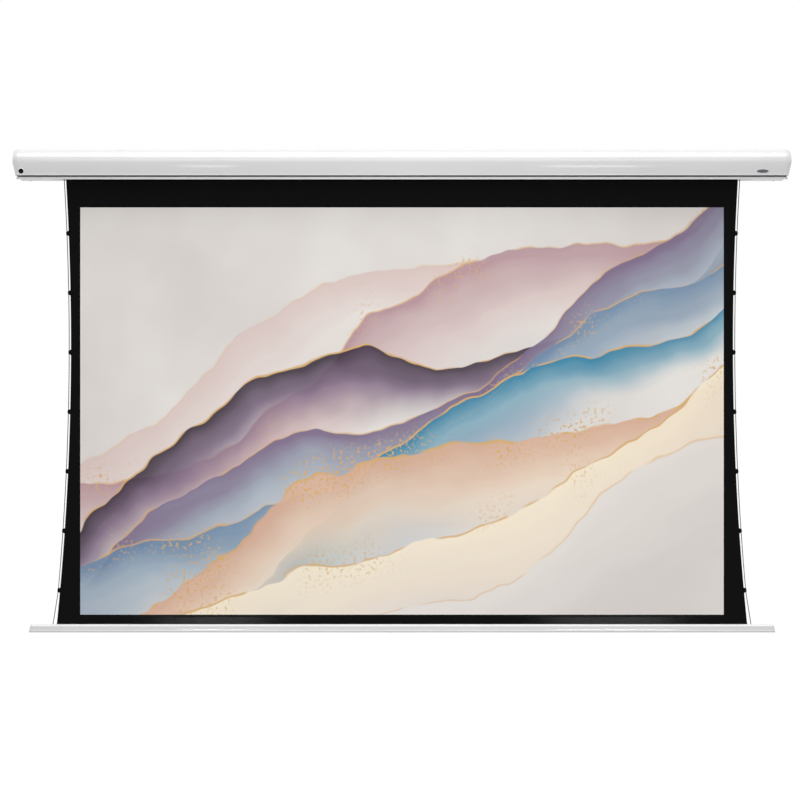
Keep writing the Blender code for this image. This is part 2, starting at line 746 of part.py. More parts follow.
def make_roller(motor_end, aluminium, steel, nylon):
    axis = (0, ROLL_Y, ROLL_Z)
    parent = add_empty("roller_axis", axis)
    centre = (ROLL_Y, ROLL_Z)
    bore = TUBE_RADIUS - TUBE_WALL
    seat = bore - FIT_GAP

    def add_turned(name, profile, mat):
        add_piece(name, turned(profile, ROUND_SIDES, centre), mat, axis, parent)

    add_turned("roller_tube", ring(-TUBE_HALF, TUBE_HALF, TUBE_RADIUS, bore), aluminium)
    crown = ring(-TUBE_HALF, -TUBE_HALF + CROWN_LENGTH, seat, MOTOR_RADIUS + FIT_GAP)
    add_turned("bearing_crown", crown, nylon)
    wheel_from = motor_end + FIT_GAP
    wheel_to = wheel_from + DRIVE_WHEEL_LENGTH
    wheel = [(wheel_from, 0), (wheel_from, seat), (wheel_to, seat), (wheel_to, 0)]
    add_turned("drive_wheel", wheel, nylon)
    add_turned("idler_plug", ring(TUBE_HALF - PLUG_LENGTH, TUBE_HALF, seat, PIN_RADIUS + FIT_GAP), nylon)
    pin_to = PLATE_FROM_CENTRE + PLATE_THICKNESS + FIT_GAP
    pin = [
        (TUBE_HALF - PIN_SEAT, 0),
        (TUBE_HALF - PIN_SEAT, PIN_RADIUS),
        (pin_to, PIN_RADIUS),
        (pin_to, 0),
    ]
    add_turned("idler_pin", pin, steel)
    sleeve = TUBE_RADIUS + FIT_GAP
    roll_half = half_width(ROLL_Z)
    for word, side in SIDES:
        drum = ring(side * (roll_half + FIT_GAP), side * TUBE_HALF, DRUM_RADIUS, sleeve)
        add_turned(f"string_drum_{word}", drum, nylon)
    return parent, axis, sleeve, roll_half


def make_fabric_roll(parent, axis, sleeve, roll_half, fabric):
    profile = ring(-roll_half, roll_half, ROLL_RADIUS, sleeve)
    bm = turned(profile, ROUND_SIDES, (ROLL_Y, ROLL_Z))
    add_piece("fabric_roll", bm, fabric, axis, parent)


# Sheet


def half_width(z):
    # the sheet's side edges are drawn in to a waist by the strings
    return WAIST_HALF + EDGE_CURVE * (z - WAIST_Z) ** 2


def edge_heights(top, bottom):
    count = max(1, round((top - bottom) / EDGE_STEP))
    return [top + (bottom - top) * i / count for i in range(count + 1)]


def flat_piece(name, loop, mat):
    bm = prism([loop], SHEET_FRONT_Y, SHEET_FRONT_Y + SHEET_THICKNESS, "Y")
    add_piece(name, bm, mat, (0, SHEET_Y, ROLL_Z))


def full_width_loop(top, bottom):
    heights = edge_heights(top, bottom)
    right = [(half_width(z), z) for z in heights]
    return right + [(-x, z) for x, z in right[::-1]]


def make_sheet(black, white):
    inner = VIEW_WIDTH / 2
    flat_piece("top_drop", full_width_loop(ROLL_Z, VIEW_TOP_Z), black)
    view_top = VIEW_TOP_Z - FIT_GAP
    view_bottom = VIEW_BOTTOM_Z + FIT_GAP
    view_centre = (0, (view_top + view_bottom) / 2)
    view = rectangle(view_centre, (VIEW_WIDTH, view_top - view_bottom))
    flat_piece("viewing_surface", view, white)
    for word, side in SIDES:
        heights = edge_heights(view_top, view_bottom)
        loop = [(side * half_width(z), z) for z in heights]
        loop += [(side * (inner + FIT_GAP), view_bottom), (side * (inner + FIT_GAP), view_top)]
        flat_piece(f"side_border_{word}", loop, black)
    flat_piece("bottom_border", full_width_loop(VIEW_BOTTOM_Z, BAR_TOP_Z - BAR_WALL), black)


# Side strings and their tabs


def tab_height(number):
    return FIRST_TAB_Z - number * TAB_PITCH


def tab_mesh():
    # base on the sheet's edge at x = 0, tip outwards along +X, bored along Z for the string
    length = TAB_REACH - FIT_GAP
    body = rectangle((FIT_GAP + length / 2, 0), (length, TAB_THICKNESS))
    bore = circle(STRING_RADIUS + FIT_GAP, (STRING_FROM_EDGE, 0), SMALL_SIDES)
    bm = prism([body, bore], -0.5, 0.5, "Z")
    for vert in bm.verts:
        share = vert.co.x / TAB_REACH
        height = TAB_BASE_HEIGHT + (TAB_TIP_HEIGHT - TAB_BASE_HEIGHT) * share
        vert.co.z *= height
    return bm


def make_tabs(rubber):
    for word, side in SIDES:
        for number in range(TAB_COUNT):
            z = tab_height(number)
            lean = math.atan(2 * EDGE_CURVE * (z - WAIST_Z))
            frame = Matrix.Translation((side * half_width(z), SHEET_Y, z))
            frame @= Matrix.Diagonal((side, 1, 1, 1)) @ Matrix.Rotation(lean, 4, "Y")
            bm = tab_mesh()
            bmesh.ops.transform(bm, matrix=frame, verts=bm.verts)
            add_piece(f"tab_{word}_{number + 1}", bm, rubber, frame.to_translation())


def string_route(side):
    last_tab_foot = tab_height(TAB_COUNT - 1) - TAB_BASE_HEIGHT / 2
    count = round((ROLL_Z - last_tab_foot) / STRING_STEP)
    heights = [ROLL_Z + (last_tab_foot - ROLL_Z) * i / count for i in range(count + 1)]
    points = [(side * (half_width(z) + STRING_FROM_EDGE), SHEET_Y, z) for z in heights]
    foot = side * STRING_HALF_AT_BAR
    end_z = BAR_TOP_Z - BAR_WALL - ANCHOR_BORE_DEPTH + FIT_GAP
    return points + [(foot, SHEET_Y, BAR_TOP_Z), (foot, SHEET_Y, end_z)]


def make_strings(cord):
    for word, side in SIDES:
        curve = bpy.data.curves.new(f"tension_string_{word}", "CURVE")
        curve.dimensions = "3D"
        curve.bevel_depth = STRING_RADIUS
        curve.bevel_resolution = 2
        curve.use_fill_caps = True
        route = string_route(side)
        spline = curve.splines.new("POLY")
        spline.points.add(len(route) - 1)
        for point, place in zip(spline.points, route):
            point.co = (*place, 1)
        curve.materials.append(cord)
        obj = bpy.data.objects.new(f"tension_string_{word}", curve)
        bpy.context.scene.collection.objects.link(obj)


# Weight bar


def bar_curve(inset):
    # down the left side, under the bar and up the right side, seen from +X
    half = BAR_DEPTH / 2
    top = BAR_TOP_Z
    foot = BAR_BOTTOM_Z
    rt = BAR_TOP_RADIUS
    rf = BAR_FOOT_RADIUS
    big = (rt - inset, rt - inset)
    small = (rf - inset, rf - inset)
    corners = [
        ((SHEET_Y - half + rt, top - rt), big, 90, 180),
        ((SHEET_Y - half + rf, foot + rf), small, 180, 270),
        ((SHEET_Y + half - rf, foot + rf), small, 270, 360),
        ((SHEET_Y + half - rt, top - rt), big, 0, 90),
    ]
    points = []
    for centre, radii, first, last in corners:
        points += arc(centre, radii, first, last, CORNER_STEPS)
    return points


def make_bar_cap(name, side, plastic, parent, axis):
    inner = side * (BAR_BODY_HALF + FIT_GAP)
    sections = [[(inner, y, z) for y, z in bar_curve(0)]]
    for back, inset in rounded_steps(BAR_CAP_ROUNDING):
        row = []
        for y, z in bar_curve(inset):
            share = (z - BAR_BOTTOM_Z) / BAR_HEIGHT
            reach = BAR_CAP_FOOT + (BAR_CAP_TOP - BAR_CAP_FOOT) * share
            row.append((side * (BAR_BODY_HALF + reach - back), y, z))
        sections.append(row)
    cap = add_piece(name, loft(sections), plastic, axis, parent)
    ends = (inner + side * BAR_CAP_TOP / 2, side * (BAR_BODY_HALF - BAR_CAP_SPIGOT))
    combine(cap, prism([bar_curve(BAR_WALL + FIT_GAP)], *ends), "UNION")


def make_bar(paint, plastic, steel, zinc):
    axis = (0, SHEET_Y, BAR_TOP_Z)
    parent = add_empty("bar_carrier", axis)
    slot = BAR_SLOT / 2
    outer = bar_curve(0)
    inner = bar_curve(BAR_WALL)[::-1]
    top = BAR_TOP_Z
    right_lip = [(SHEET_Y + slot, top), (SHEET_Y + slot, top - BAR_WALL)]
    left_lip = [(SHEET_Y - slot, top - BAR_WALL), (SHEET_Y - slot, top)]
    profile = outer + right_lip + inner + left_lip
    body = prism([profile], -BAR_BODY_HALF, BAR_BODY_HALF)
    add_piece("weight_bar", body, paint, axis, parent)
    for word, side in SIDES:
        make_bar_cap(f"bar_cap_{word}", side, plastic, parent, axis)
    rod_half = STRING_HALF_AT_BAR - ROD_SHORT_OF_STRING
    hem_z = BAR_TOP_Z - BAR_WALL - FIT_GAP - HEM_ROD_RADIUS
    weight_z = BAR_BOTTOM_Z + BAR_WALL + FIT_GAP + WEIGHT_ROD_RADIUS
    for name, radius, z in (
        ("hem_rod", HEM_ROD_RADIUS, hem_z),
        ("weight_rod", WEIGHT_ROD_RADIUS, weight_z),
    ):
        bm = prism([circle(radius, (SHEET_Y, z), SMALL_SIDES)], -rod_half, rod_half)
        add_piece(name, bm, steel, axis, parent)
    anchor_top = BAR_TOP_Z - BAR_WALL - FIT_GAP
    for word, side in SIDES:
        profile = [
            (anchor_top - ANCHOR_HEIGHT, 0),
            (anchor_top - ANCHOR_HEIGHT, ANCHOR_RADIUS),
            (anchor_top, ANCHOR_RADIUS),
            (anchor_top, STRING_RADIUS + FIT_GAP),
            (anchor_top - ANCHOR_BORE_DEPTH, STRING_RADIUS + FIT_GAP),
            (anchor_top - ANCHOR_BORE_DEPTH, 0),
        ]
        bm = stand_up(turned(profile, SMALL_SIDES))
        place = (side * STRING_HALF_AT_BAR, SHEET_Y, 0)
        bmesh.ops.translate(bm, verts=bm.verts, vec=place)
        add_piece(f"string_anchor_{word}", bm, zinc, axis, parent)


# Whole screen


def main():
    clear_scene()
    white_paint = make_material("white_powder_coat", (0.80, 0.80, 0.80), 0.45)
    white_plastic = make_material("white_plastic", (0.78, 0.78, 0.78), 0.5)
    grey_plastic = make_material("grey_plastic", (0.35, 0.35, 0.36), 0.5)
    black_plastic = make_material("black_plastic", (0.02, 0.02, 0.02), 0.4)
    lens = make_material("infra_red_lens", (0.01, 0.006, 0.01), 0.1)
    board = make_material("circuit_board", (0.02, 0.16, 0.06), 0.5)
    steel = make_material("zinc_plated_steel", (0.60, 0.60, 0.61), 0.35, 1.0)
    bronze = make_material("sintered_bronze", (0.55, 0.38, 0.20), 0.45, 1.0)
    aluminium = make_material("mill_aluminium", (0.75, 0.75, 0.76), 0.35, 1.0)
    badge_metal = make_material("badge_metal", (0.25, 0.25, 0.26), 0.3, 1.0)
    nylon = make_material("grey_nylon", (0.45, 0.45, 0.44), 0.5)
    black_vinyl = make_material("black_vinyl", (0.008, 0.008, 0.009), 0.6)
    white_vinyl = make_material("white_vinyl", (0.80, 0.79, 0.77), 0.8)
    tab_vinyl = make_material("tab_vinyl", (0.01, 0.01, 0.01), 0.5)
    cord = make_material("braided_cord", (0.55, 0.55, 0.55), 0.7)

    make_case_shell(white_paint)
    make_bottom_panel(white_paint)
    for word, side in SIDES:
        make_end_cap(f"end_cap_{word}", side, white_plastic)
    make_screws(steel)
    make_wall_brackets(steel)
    make_receiver(white_plastic, lens, board)
    make_badge(badge_metal)
    make_control_box(black_plastic)
    make_power_inlet(black_plastic)
    make_brackets(steel, bronze)
    motor_end = make_motor(grey_plastic, steel)
    roller = make_roller(motor_end, aluminium, steel, nylon)
    make_fabric_roll(*roller, black_vinyl)
    make_sheet(black_vinyl, white_vinyl)
    make_tabs(tab_vinyl)
    make_strings(cord)
    make_bar(white_paint, white_plastic, steel, steel)


main()
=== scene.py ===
# Motorised projector screen, let down from its case: finishes, sheet, side strings and light.
# Metres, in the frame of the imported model: +X to the viewer's right, the wall at y = 0, +Z up.

import math

import bmesh
import bpy
from mathutils import Matrix, Vector


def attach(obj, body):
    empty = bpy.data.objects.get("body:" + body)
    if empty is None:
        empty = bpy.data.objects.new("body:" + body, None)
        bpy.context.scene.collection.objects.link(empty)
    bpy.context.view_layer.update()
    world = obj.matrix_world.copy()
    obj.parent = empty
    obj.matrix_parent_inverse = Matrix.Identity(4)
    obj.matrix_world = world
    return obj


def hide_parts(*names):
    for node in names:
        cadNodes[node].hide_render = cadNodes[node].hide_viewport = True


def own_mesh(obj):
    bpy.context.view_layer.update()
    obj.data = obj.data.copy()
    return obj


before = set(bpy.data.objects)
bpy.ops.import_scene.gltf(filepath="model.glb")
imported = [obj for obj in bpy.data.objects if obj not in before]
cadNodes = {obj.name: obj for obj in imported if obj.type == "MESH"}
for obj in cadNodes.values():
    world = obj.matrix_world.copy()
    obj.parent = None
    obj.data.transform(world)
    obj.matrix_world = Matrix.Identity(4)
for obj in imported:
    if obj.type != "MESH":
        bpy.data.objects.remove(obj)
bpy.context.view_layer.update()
print("frame loaded:", len(cadNodes), "nodes")


# Small helpers


def linearColour(code):  # sRGB hex to the linear values that the shader wants
    parts = [int(code[i : i + 2], 16) / 255 for i in (1, 3, 5)]
    return [c / 12.92 if c <= 0.04045 else ((c + 0.055) / 1.055) ** 2.4 for c in parts] + [1.0]


def addNode(tree, kind, inputs=None, **settings):
    node = tree.nodes.new("ShaderNode" + kind)
    for name, value in settings.items():
        setattr(node, name, value)
    for socket, value in (inputs or {}).items():
        if isinstance(value, bpy.types.NodeSocket):
            tree.links.new(value, node.inputs[socket])
        else:
            node.inputs[socket].default_value = value
    return node


def newMaterial(name):
    material = bpy.data.materials.new(name)
    material.use_nodes = True
    tree = material.node_tree
    return material, tree, tree.nodes["Principled BSDF"]


def linkShader(tree, shader, **links):
    for socket, value in links.items():
        socket = socket.replace("_", " ").title()
        if isinstance(value, bpy.types.NodeSocket):
            tree.links.new(value, shader.inputs[socket])
        else:
            shader.inputs[socket].default_value = value


crispAbove = {"case": 28, "window": 50, "badge": 30, "tab": 35, "string": 40}  # degrees


def softShading(bm, kind):  # smooth, apart from edges sharper than the kind's limit
    limit = math.radians(crispAbove[kind])
    bm.normal_update()
    for face in bm.faces:
        face.smooth = True
    for edge in bm.edges:
        edge.smooth = len(edge.link_faces) == 2 and edge.calc_face_angle(0) < limit


def addPiece(name, bm, material, body):
    mesh = bpy.data.meshes.new(name)
    bm.to_mesh(mesh)
    bm.free()
    piece = bpy.data.objects.new(name, mesh)
    bpy.context.scene.collection.objects.link(piece)
    for one in material if isinstance(material, (list, tuple)) else [material]:
        mesh.materials.append(one)
    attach(piece, body)
    return piece


# Camera, at the photograph's place

cameraSettings = {"place": (-0.008, -6.04, -0.944), "lens": 67.2, "sensor": 36.0}

cameraData = bpy.data.cameras.new("camera")
cameraData.lens = cameraSettings["lens"]
cameraData.sensor_width = cameraSettings["sensor"]
camera = bpy.data.objects.new("camera", cameraData)
camera.location = cameraSettings["place"]
camera.rotation_euler = (math.radians(90), 0, 0)
bpy.context.scene.collection.objects.link(camera)
bpy.context.scene.camera = camera


# Materials


def grainedFinish(name, look):
    # a base that clouds slowly between two near colours, with a fine grain that catches the light
    material, tree, shader = newMaterial(name)
    place = addNode(tree, "TexCoord").outputs["Object"]
    stretched = addNode(tree, "Mapping", {"Vector": place, "Scale": look.get("stretch", (1, 1, 1))})
    vector = stretched.outputs["Vector"]
    cloud = addNode(
        tree, "TexNoise", {"Vector": vector, "Scale": 1000 / look["cloudMm"], "Detail": 3.0}
    ).outputs["Fac"]
    grain = addNode(
        tree, "TexNoise", {"Vector": vector, "Scale": 1000 / look["grainMm"], "Detail": 2.0}
    ).outputs["Fac"]
    mixed = addNode(tree, "Math", {0: cloud, 1: 0.75, 2: 0.0}, operation="MULTIPLY_ADD")
    tree.links.new(
        addNode(tree, "Math", {0: grain, 1: 0.25}, operation="MULTIPLY").outputs[0], mixed.inputs[2]
    )
    colour = addNode(
        tree,
        "Mix",
        {
            0: addNode(
                tree, "MapRange", {"Value": mixed.outputs[0], "From Min": 0.35, "From Max": 0.65}
            ).outputs["Result"],
            6: linearColour(look["dark"]),
            7: linearColour(look["light"]),
        },
        data_type="RGBA",
    ).outputs[2]
    rough = addNode(
        tree,
        "MapRange",
        {
            "Value": grain,
            "From Min": 0.3,
            "From Max": 0.7,
            "To Min": look["rough"][0],
            "To Max": look["rough"][1],
        },
    ).outputs["Result"]
    bump = addNode(
        tree,
        "Bump",
        {"Height": grain, "Strength": look["bump"], "Distance": look["grainMm"] / 1000},
    ).outputs["Normal"]
    linkShader(tree, shader, base_color=colour, roughness=rough, normal=bump)
    shader.inputs["Metallic"].default_value = look.get("metallic", 0.0)
    if "specular" in look:
        shader.inputs["Specular IOR Level"].default_value = look["specular"]
    if "coat" in look:
        shader.inputs["Coat Weight"].default_value = look["coat"][0]
        shader.inputs["Coat Roughness"].default_value = look["coat"][1]
    return material


finishes = {
    # polyester powder baked on aluminium: satin white with a faint orange peel
    "satinPowderCoat": dict(
        light="#d7d7d8", dark="#d3d3d4", cloudMm=400, grainMm=2.2, rough=(0.32, 0.4), bump=0.015,
        coat=(0.8, 0.08),
    ),
    # painted light: the same powder as a lighter, flatter white on the folded bottom panel, so that
    # its lip reads lit below the hood
    "paintedLightPowderCoat": dict(
        light="#f8f8f8", dark="#f4f4f4", cloudMm=300, grainMm=2.0, rough=(0.45, 0.55), bump=0.015
    ),
    # injection-moulded ABS with a fine spark-eroded surface
    "mouldedWhiteAbs": dict(
        light="#d6d6d7", dark="#d0d0d1", cloudMm=60, grainMm=0.9, rough=(0.38, 0.48), bump=0.05
    ),
    # painted shade: a dull grey put in the recess behind the lip, so that the groove there reads
    # dark
    "paintedRecessShade": dict(
        light="#8a8a88", dark="#7f7f7d", cloudMm=30, grainMm=0.8, rough=(0.6, 0.7), bump=0.05
    ),
    # moulded nylon: slightly waxy greys with a soft grain
    "mouldedGreyNylon": dict(
        light="#b4b4b0", dark="#a9a9a5", cloudMm=40, grainMm=1.0, rough=(0.45, 0.58), bump=0.06
    ),
    "mouldedDarkNylon": dict(
        light="#5f6062", dark="#56575a", cloudMm=40, grainMm=1.0, rough=(0.42, 0.55), bump=0.06
    ),
    # injection-moulded black ABS, with a coarser spark-eroded grain
    "mouldedBlackAbs": dict(
        light="#1d1d1e", dark="#161617", cloudMm=30, grainMm=0.8, rough=(0.38, 0.5), bump=0.08
    ),
    # sheet steel with a bright zinc plating, a little mottled
    "zincPlatedSteel": dict(
        light="#c9cacc", dark="#b6b8bc", cloudMm=9, grainMm=1.2, rough=(0.26, 0.42), bump=0.03,
        metallic=1.0,
    ),
    # pressed and sintered bronze, matt and slightly porous
    "sinteredBronze": dict(
        light="#c6a177", dark="#ab8458", cloudMm=3, grainMm=0.5, rough=(0.4, 0.55), bump=0.1,
        metallic=1.0,
    ),
    # tube extruded from aluminium, with die lines along it
    "extrudedAluminium": dict(
        light="#d4d5d6", dark="#c3c4c6", cloudMm=30, grainMm=1.0, rough=(0.24, 0.4), bump=0.04,
        metallic=1.0, stretch=(0.02, 1, 1),
    ),
    # small oval plate, brushed lengthways and anodised dark grey
    "anodisedBadge": dict(
        light="#66676a", dark="#515255", cloudMm=8, grainMm=0.7, rough=(0.25, 0.4), bump=0.05,
        metallic=1.0, stretch=(0.06, 1, 1),
    ),
    # infra-red window: polished dark red-black acrylic
    "smokedAcrylic": dict(
        light="#090506", dark="#060304", cloudMm=12, grainMm=1.5, rough=(0.05, 0.08), bump=0.005,
        specular=0.12,
    ),
    # snap-in ring, moulded in polished white ABS
    "polishedWhiteAbs": dict(
        light="#fbfbfa", dark="#f7f7f6", cloudMm=10, grainMm=0.8, rough=(0.15, 0.2), bump=0.01
    ),
    # glass-fibre board under green solder mask
    "solderMaskBoard": dict(
        light="#2a7a48", dark="#1f6639", cloudMm=6, grainMm=0.6, rough=(0.3, 0.42), bump=0.05
    ),
}
made = {name: grainedFinish(name, look) for name, look in finishes.items()}


# Sizes of the sheet, as it is cut

sheetCut = {
    "middleY": -0.040,
    "thickness": 0.0006,
    "viewHalf": 1.2925,
    "viewTop": -0.1704,
    "viewFoot": -1.8064,
    "rollZ": 0.004,
    "footZ": -1.8461,
    "inBar": 0.002,  # this much of the foot is inside the bar
    "waistHalf": 1.330,
    "waistZ": -0.72235,
    "edgeCurve": 0.045267,
    "weldMm": 9,
}


def halfWidth(z):  # the strings draw the side edges in to a waist
    return sheetCut["waistHalf"] + sheetCut["edgeCurve"] * (z - sheetCut["waistZ"]) ** 2


# Picture on the white surface: plain layered waves in soft colours

waveKeys = (
    "turn", "base", "swing", "beat", "shift", "near", "far", "reach", "cover", "gold", "flecks",
)
pictureWaves = [  # from the back to the front
    (22, 0.44, 0.12, 2.4, 1.7, "#dcc2bd", "#ebe3de", 0.22, 0.75, 0.3, 0.0),
    (27, 0.31, 0.11, 3.1, 0.2, "#b58f99", "#dcc8c5", 0.18, 0.9, 0.6, 0.9),
    (22, 0.17, 0.13, 2.4, 2.9, "#35283a", "#8b7790", 0.13, 0.95, 0.9, 0.0),
    (29, 0.06, 0.12, 2.8, 4.1, "#7f6e8c", "#a9b6c4", 0.20, 0.95, 0.5, 0.0),
    (25, -0.06, 0.12, 2.3, 5.2, "#6f8dab", "#b6c3cd", 0.20, 0.9, 0.7, 0.8),
    (30, -0.19, 0.10, 3.0, 0.9, "#2484a6", "#93b8c6", 0.10, 0.9, 0.9, 0.0),
    (21, -0.27, 0.12, 2.5, 2.2, "#dcae92", "#f0dcc6", 0.18, 0.9, 0.9, 1.0),
    (26, -0.44, 0.10, 2.1, 3.6, "#fbeed6", "#efe0d0", 0.22, 0.9, 0.8, 0.6),
    (22, -0.66, 0.09, 2.7, 5.0, "#e9e3de", "#dad4d0", 0.40, 0.9, 0.4, 0.0),
]
pictureLook = {
    "paper": ("#dcd6d2", "#ece8e3"),
    "paperMm": 769.2,
    "paperRange": (0.35, 0.65),
    "driftMm": 909.1,  # slow wandering of the crests, and how far it takes them, in metres
    "driftBy": 0.5,
    "strandMm": (625, 90.9),  # along a wave and across it
    "strandShare": 0.7,
    "crestMm": 4,
    "fade": (0.7, 2.0),  # of the wave's reach
    "toneRange": (-0.35, 0.65),
    "gold": "#dcb06c",
    "lineMm": (2, 6),
    "breaksMm": 200,
    "breaksRange": (0.42, 0.52),
    "fleckMm": 14,
    "fleckRange": (0.56, 0.6),
    "patchMm": 434.8,
    "patchRange": (0.5, 0.6),
    "leafMm": (20, 110),  # how far from the crest the leaf thins out
}


def paintPicture(tree, place):
    # each wave has a crisp crest with a broken gold line, and fades into the one behind
    middle = (0, 0, (sheetCut["viewTop"] + sheetCut["viewFoot"]) / 2)
    centred = addNode(tree, "VectorMath", {0: place, 1: middle}, operation="SUBTRACT").outputs[0]
    flat = addNode(tree, "VectorMath", {0: centred, 1: (1, 0, 1)}, operation="MULTIPLY").outputs[0]
    look = pictureLook
    drift = addNode(
        tree, "TexNoise", {"Vector": flat, "Scale": 1000 / look["driftMm"], "Detail": 4.0}
    ).outputs["Color"]
    level = addNode(tree, "VectorMath", {0: drift, 1: (0.5, 0.5, 0.5)}, operation="SUBTRACT")
    push = (look["driftBy"], 0, look["driftBy"])
    pushed = addNode(
        tree, "VectorMath", {0: level.outputs[0], 1: push, 2: flat}, operation="MULTIPLY_ADD"
    ).outputs[0]
    fleck = addNode(
        tree, "TexNoise", {"Vector": flat, "Scale": 1000 / look["fleckMm"], "Detail": 3.0}
    ).outputs["Fac"]
    low, high = look["fleckRange"]
    fleck = addNode(tree, "MapRange", {"Value": fleck, "From Min": low, "From Max": high})
    patch = addNode(
        tree, "TexNoise", {"Vector": flat, "Scale": 1000 / look["patchMm"], "Detail": 2.0}
    ).outputs["Fac"]
    low, high = look["patchRange"]
    patch = addNode(tree, "MapRange", {"Value": patch, "From Min": low, "From Max": high})
    speckle = addNode(
        tree, "Math", {0: fleck.outputs["Result"], 1: patch.outputs["Result"]}, operation="MULTIPLY"
    ).outputs[0]
    cloud = addNode(
        tree, "TexNoise", {"Vector": flat, "Scale": 1000 / look["paperMm"], "Detail": 3.0}
    ).outputs["Fac"]
    low, high = look["paperRange"]
    spread = addNode(tree, "MapRange", {"Value": cloud, "From Min": low, "From Max": high})
    dark, light = (linearColour(code) for code in look["paper"])
    colour = addNode(
        tree, "Mix", {0: spread.outputs["Result"], 6: dark, 7: light}, data_type="RGBA"
    ).outputs[2]
    breaks = addNode(
        tree, "TexNoise", {"Vector": flat, "Scale": 1000 / look["breaksMm"], "Detail": 2.0}
    ).outputs["Fac"]
    low, high = look["breaksRange"]
    broken = addNode(
        tree, "MapRange", {"Value": breaks, "From Min": low, "From Max": high}
    ).outputs["Result"]
    for row in pictureWaves:
        wave = dict(zip(waveKeys, row))
        turn = math.radians(wave["turn"])
        along = addNode(
            tree, "VectorMath", {0: pushed, 1: (math.cos(turn), 0, math.sin(turn))},
            operation="DOT_PRODUCT",
        ).outputs["Value"]
        across = addNode(
            tree, "VectorMath", {0: pushed, 1: (-math.sin(turn), 0, math.cos(turn))},
            operation="DOT_PRODUCT",
        ).outputs["Value"]
        phase = addNode(
            tree, "Math", {0: along, 1: wave["beat"], 2: wave["shift"]}, operation="MULTIPLY_ADD"
        ).outputs[0]
        swell = addNode(tree, "Math", {0: phase}, operation="SINE").outputs[0]
        crest = addNode(
            tree, "Math", {0: swell, 1: wave["swing"], 2: wave["base"]}, operation="MULTIPLY_ADD"
        ).outputs[0]
        depth = addNode(tree, "Math", {0: crest, 1: across}, operation="SUBTRACT").outputs[0]
        strandPlace = addNode(tree, "CombineXYZ", {"X": along, "Y": depth, "Z": wave["shift"]})
        strandSize = (1000 / look["strandMm"][0], 1000 / look["strandMm"][1], 1)
        strandScaled = addNode(
            tree, "VectorMath", {0: strandPlace.outputs[0], 1: strandSize}, operation="MULTIPLY"
        )
        strand = addNode(
            tree, "TexNoise", {"Vector": strandScaled.outputs[0], "Scale": 1.0, "Detail": 3.0}
        ).outputs["Fac"]
        inside = addNode(
            tree,
            "MapRange",
            {"Value": depth, "From Min": 0.0, "From Max": look["crestMm"] / 1000},
        ).outputs["Result"]
        fade = addNode(
            tree,
            "MapRange",
            {
                "Value": depth,
                "From Min": wave["reach"] * look["fade"][0],
                "From Max": wave["reach"] * look["fade"][1],
                "To Min": wave["cover"],
                "To Max": 0.0,
            },
            interpolation_type="SMOOTHSTEP",
        ).outputs["Result"]
        tone = addNode(
            tree,
            "MapRange",
            {
                "Value": depth,
                "From Min": 0.0,
                "From Max": wave["reach"],
                "To Min": look["toneRange"][0],
                "To Max": look["toneRange"][1],
            },
        ).outputs["Result"]
        streaked = addNode(
            tree,
            "Math",
            {0: strand, 1: look["strandShare"], 2: tone},
            operation="MULTIPLY_ADD",
            use_clamp=True,
        ).outputs[0]
        shade = addNode(
            tree,
            "Mix",
            {0: streaked, 6: linearColour(wave["near"]), 7: linearColour(wave["far"])},
            data_type="RGBA",
        ).outputs[2]
        cover = addNode(tree, "Math", {0: inside, 1: fade}, operation="MULTIPLY").outputs[0]
        colour = addNode(tree, "Mix", {0: cover, 6: colour, 7: shade}, data_type="RGBA").outputs[2]
        distance = addNode(tree, "Math", {0: depth}, operation="ABSOLUTE").outputs[0]
        line = addNode(
            tree,
            "MapRange",
            {
                "Value": distance,
                "From Min": look["lineMm"][0] / 1000,
                "From Max": look["lineMm"][1] / 1000,
                "To Min": wave["gold"],
                "To Max": 0.0,
            },
        ).outputs["Result"]
        gilt = addNode(tree, "Math", {0: line, 1: broken}, operation="MULTIPLY").outputs[0]
        if wave["flecks"]:  # gold leaf scattered in patches near this crest
            near = addNode(
                tree,
                "MapRange",
                {
                    "Value": distance,
                    "From Min": look["leafMm"][0] / 1000,
                    "From Max": look["leafMm"][1] / 1000,
                    "To Min": wave["flecks"],
                    "To Max": 0.0,
                },
            ).outputs["Result"]
            leaf = addNode(tree, "Math", {0: speckle, 1: near}, operation="MULTIPLY").outputs[0]
            gilt = addNode(tree, "Math", {0: gilt, 1: leaf}, operation="MAXIMUM").outputs[0]
        colour = addNode(
            tree, "Mix", {0: gilt, 6: colour, 7: linearColour(look["gold"])}, data_type="RGBA"
        ).outputs[2]
    return colour


def clothPlace(tree):  # where the point was on the flat cut, so that a pattern stays on the cloth
    return addNode(tree, "Attribute", attribute_name="cutPlace").outputs["Vector"]


whiteFilmLook = {
    "embossMm": 1.1,  # coarser than the real third of a millimetre, so that close views show it
    "embossHighMm": 0.4,
    "bump": 0.05,
    "rough": 0.75,
    "specular": 0.2,
}


def whiteFilm():
    # matt white calendered PVC that takes the picture; a faint emboss breaks up any shine
    material, tree, shader = newMaterial("matWhitePvcFilm")
    look = whiteFilmLook
    place = clothPlace(tree)
    emboss = addNode(
        tree, "TexVoronoi", {"Vector": place, "Scale": 1000 / look["embossMm"]}
    ).outputs["Distance"]
    high = look["embossHighMm"] / 1000
    bump = addNode(tree, "Bump", {"Height": emboss, "Strength": look["bump"], "Distance": high})
    picture, normal = paintPicture(tree, place), bump.outputs[0]
    linkShader(tree, shader, base_color=picture, roughness=look["rough"], normal=normal)
    shader.inputs["Specular IOR Level"].default_value = look["specular"]
    return material


blackFilmLook = {
    "cloudMm": 200,
    "ribMm": 1.67,
    "weldEdgeMm": 1,
    "embossMm": 1.43,  # coarser than the real one, so that close views show it
    "embossShare": 0.3,
    "highMm": 0.6,
    "bump": 0.12,
    "specular": 0.04,
}


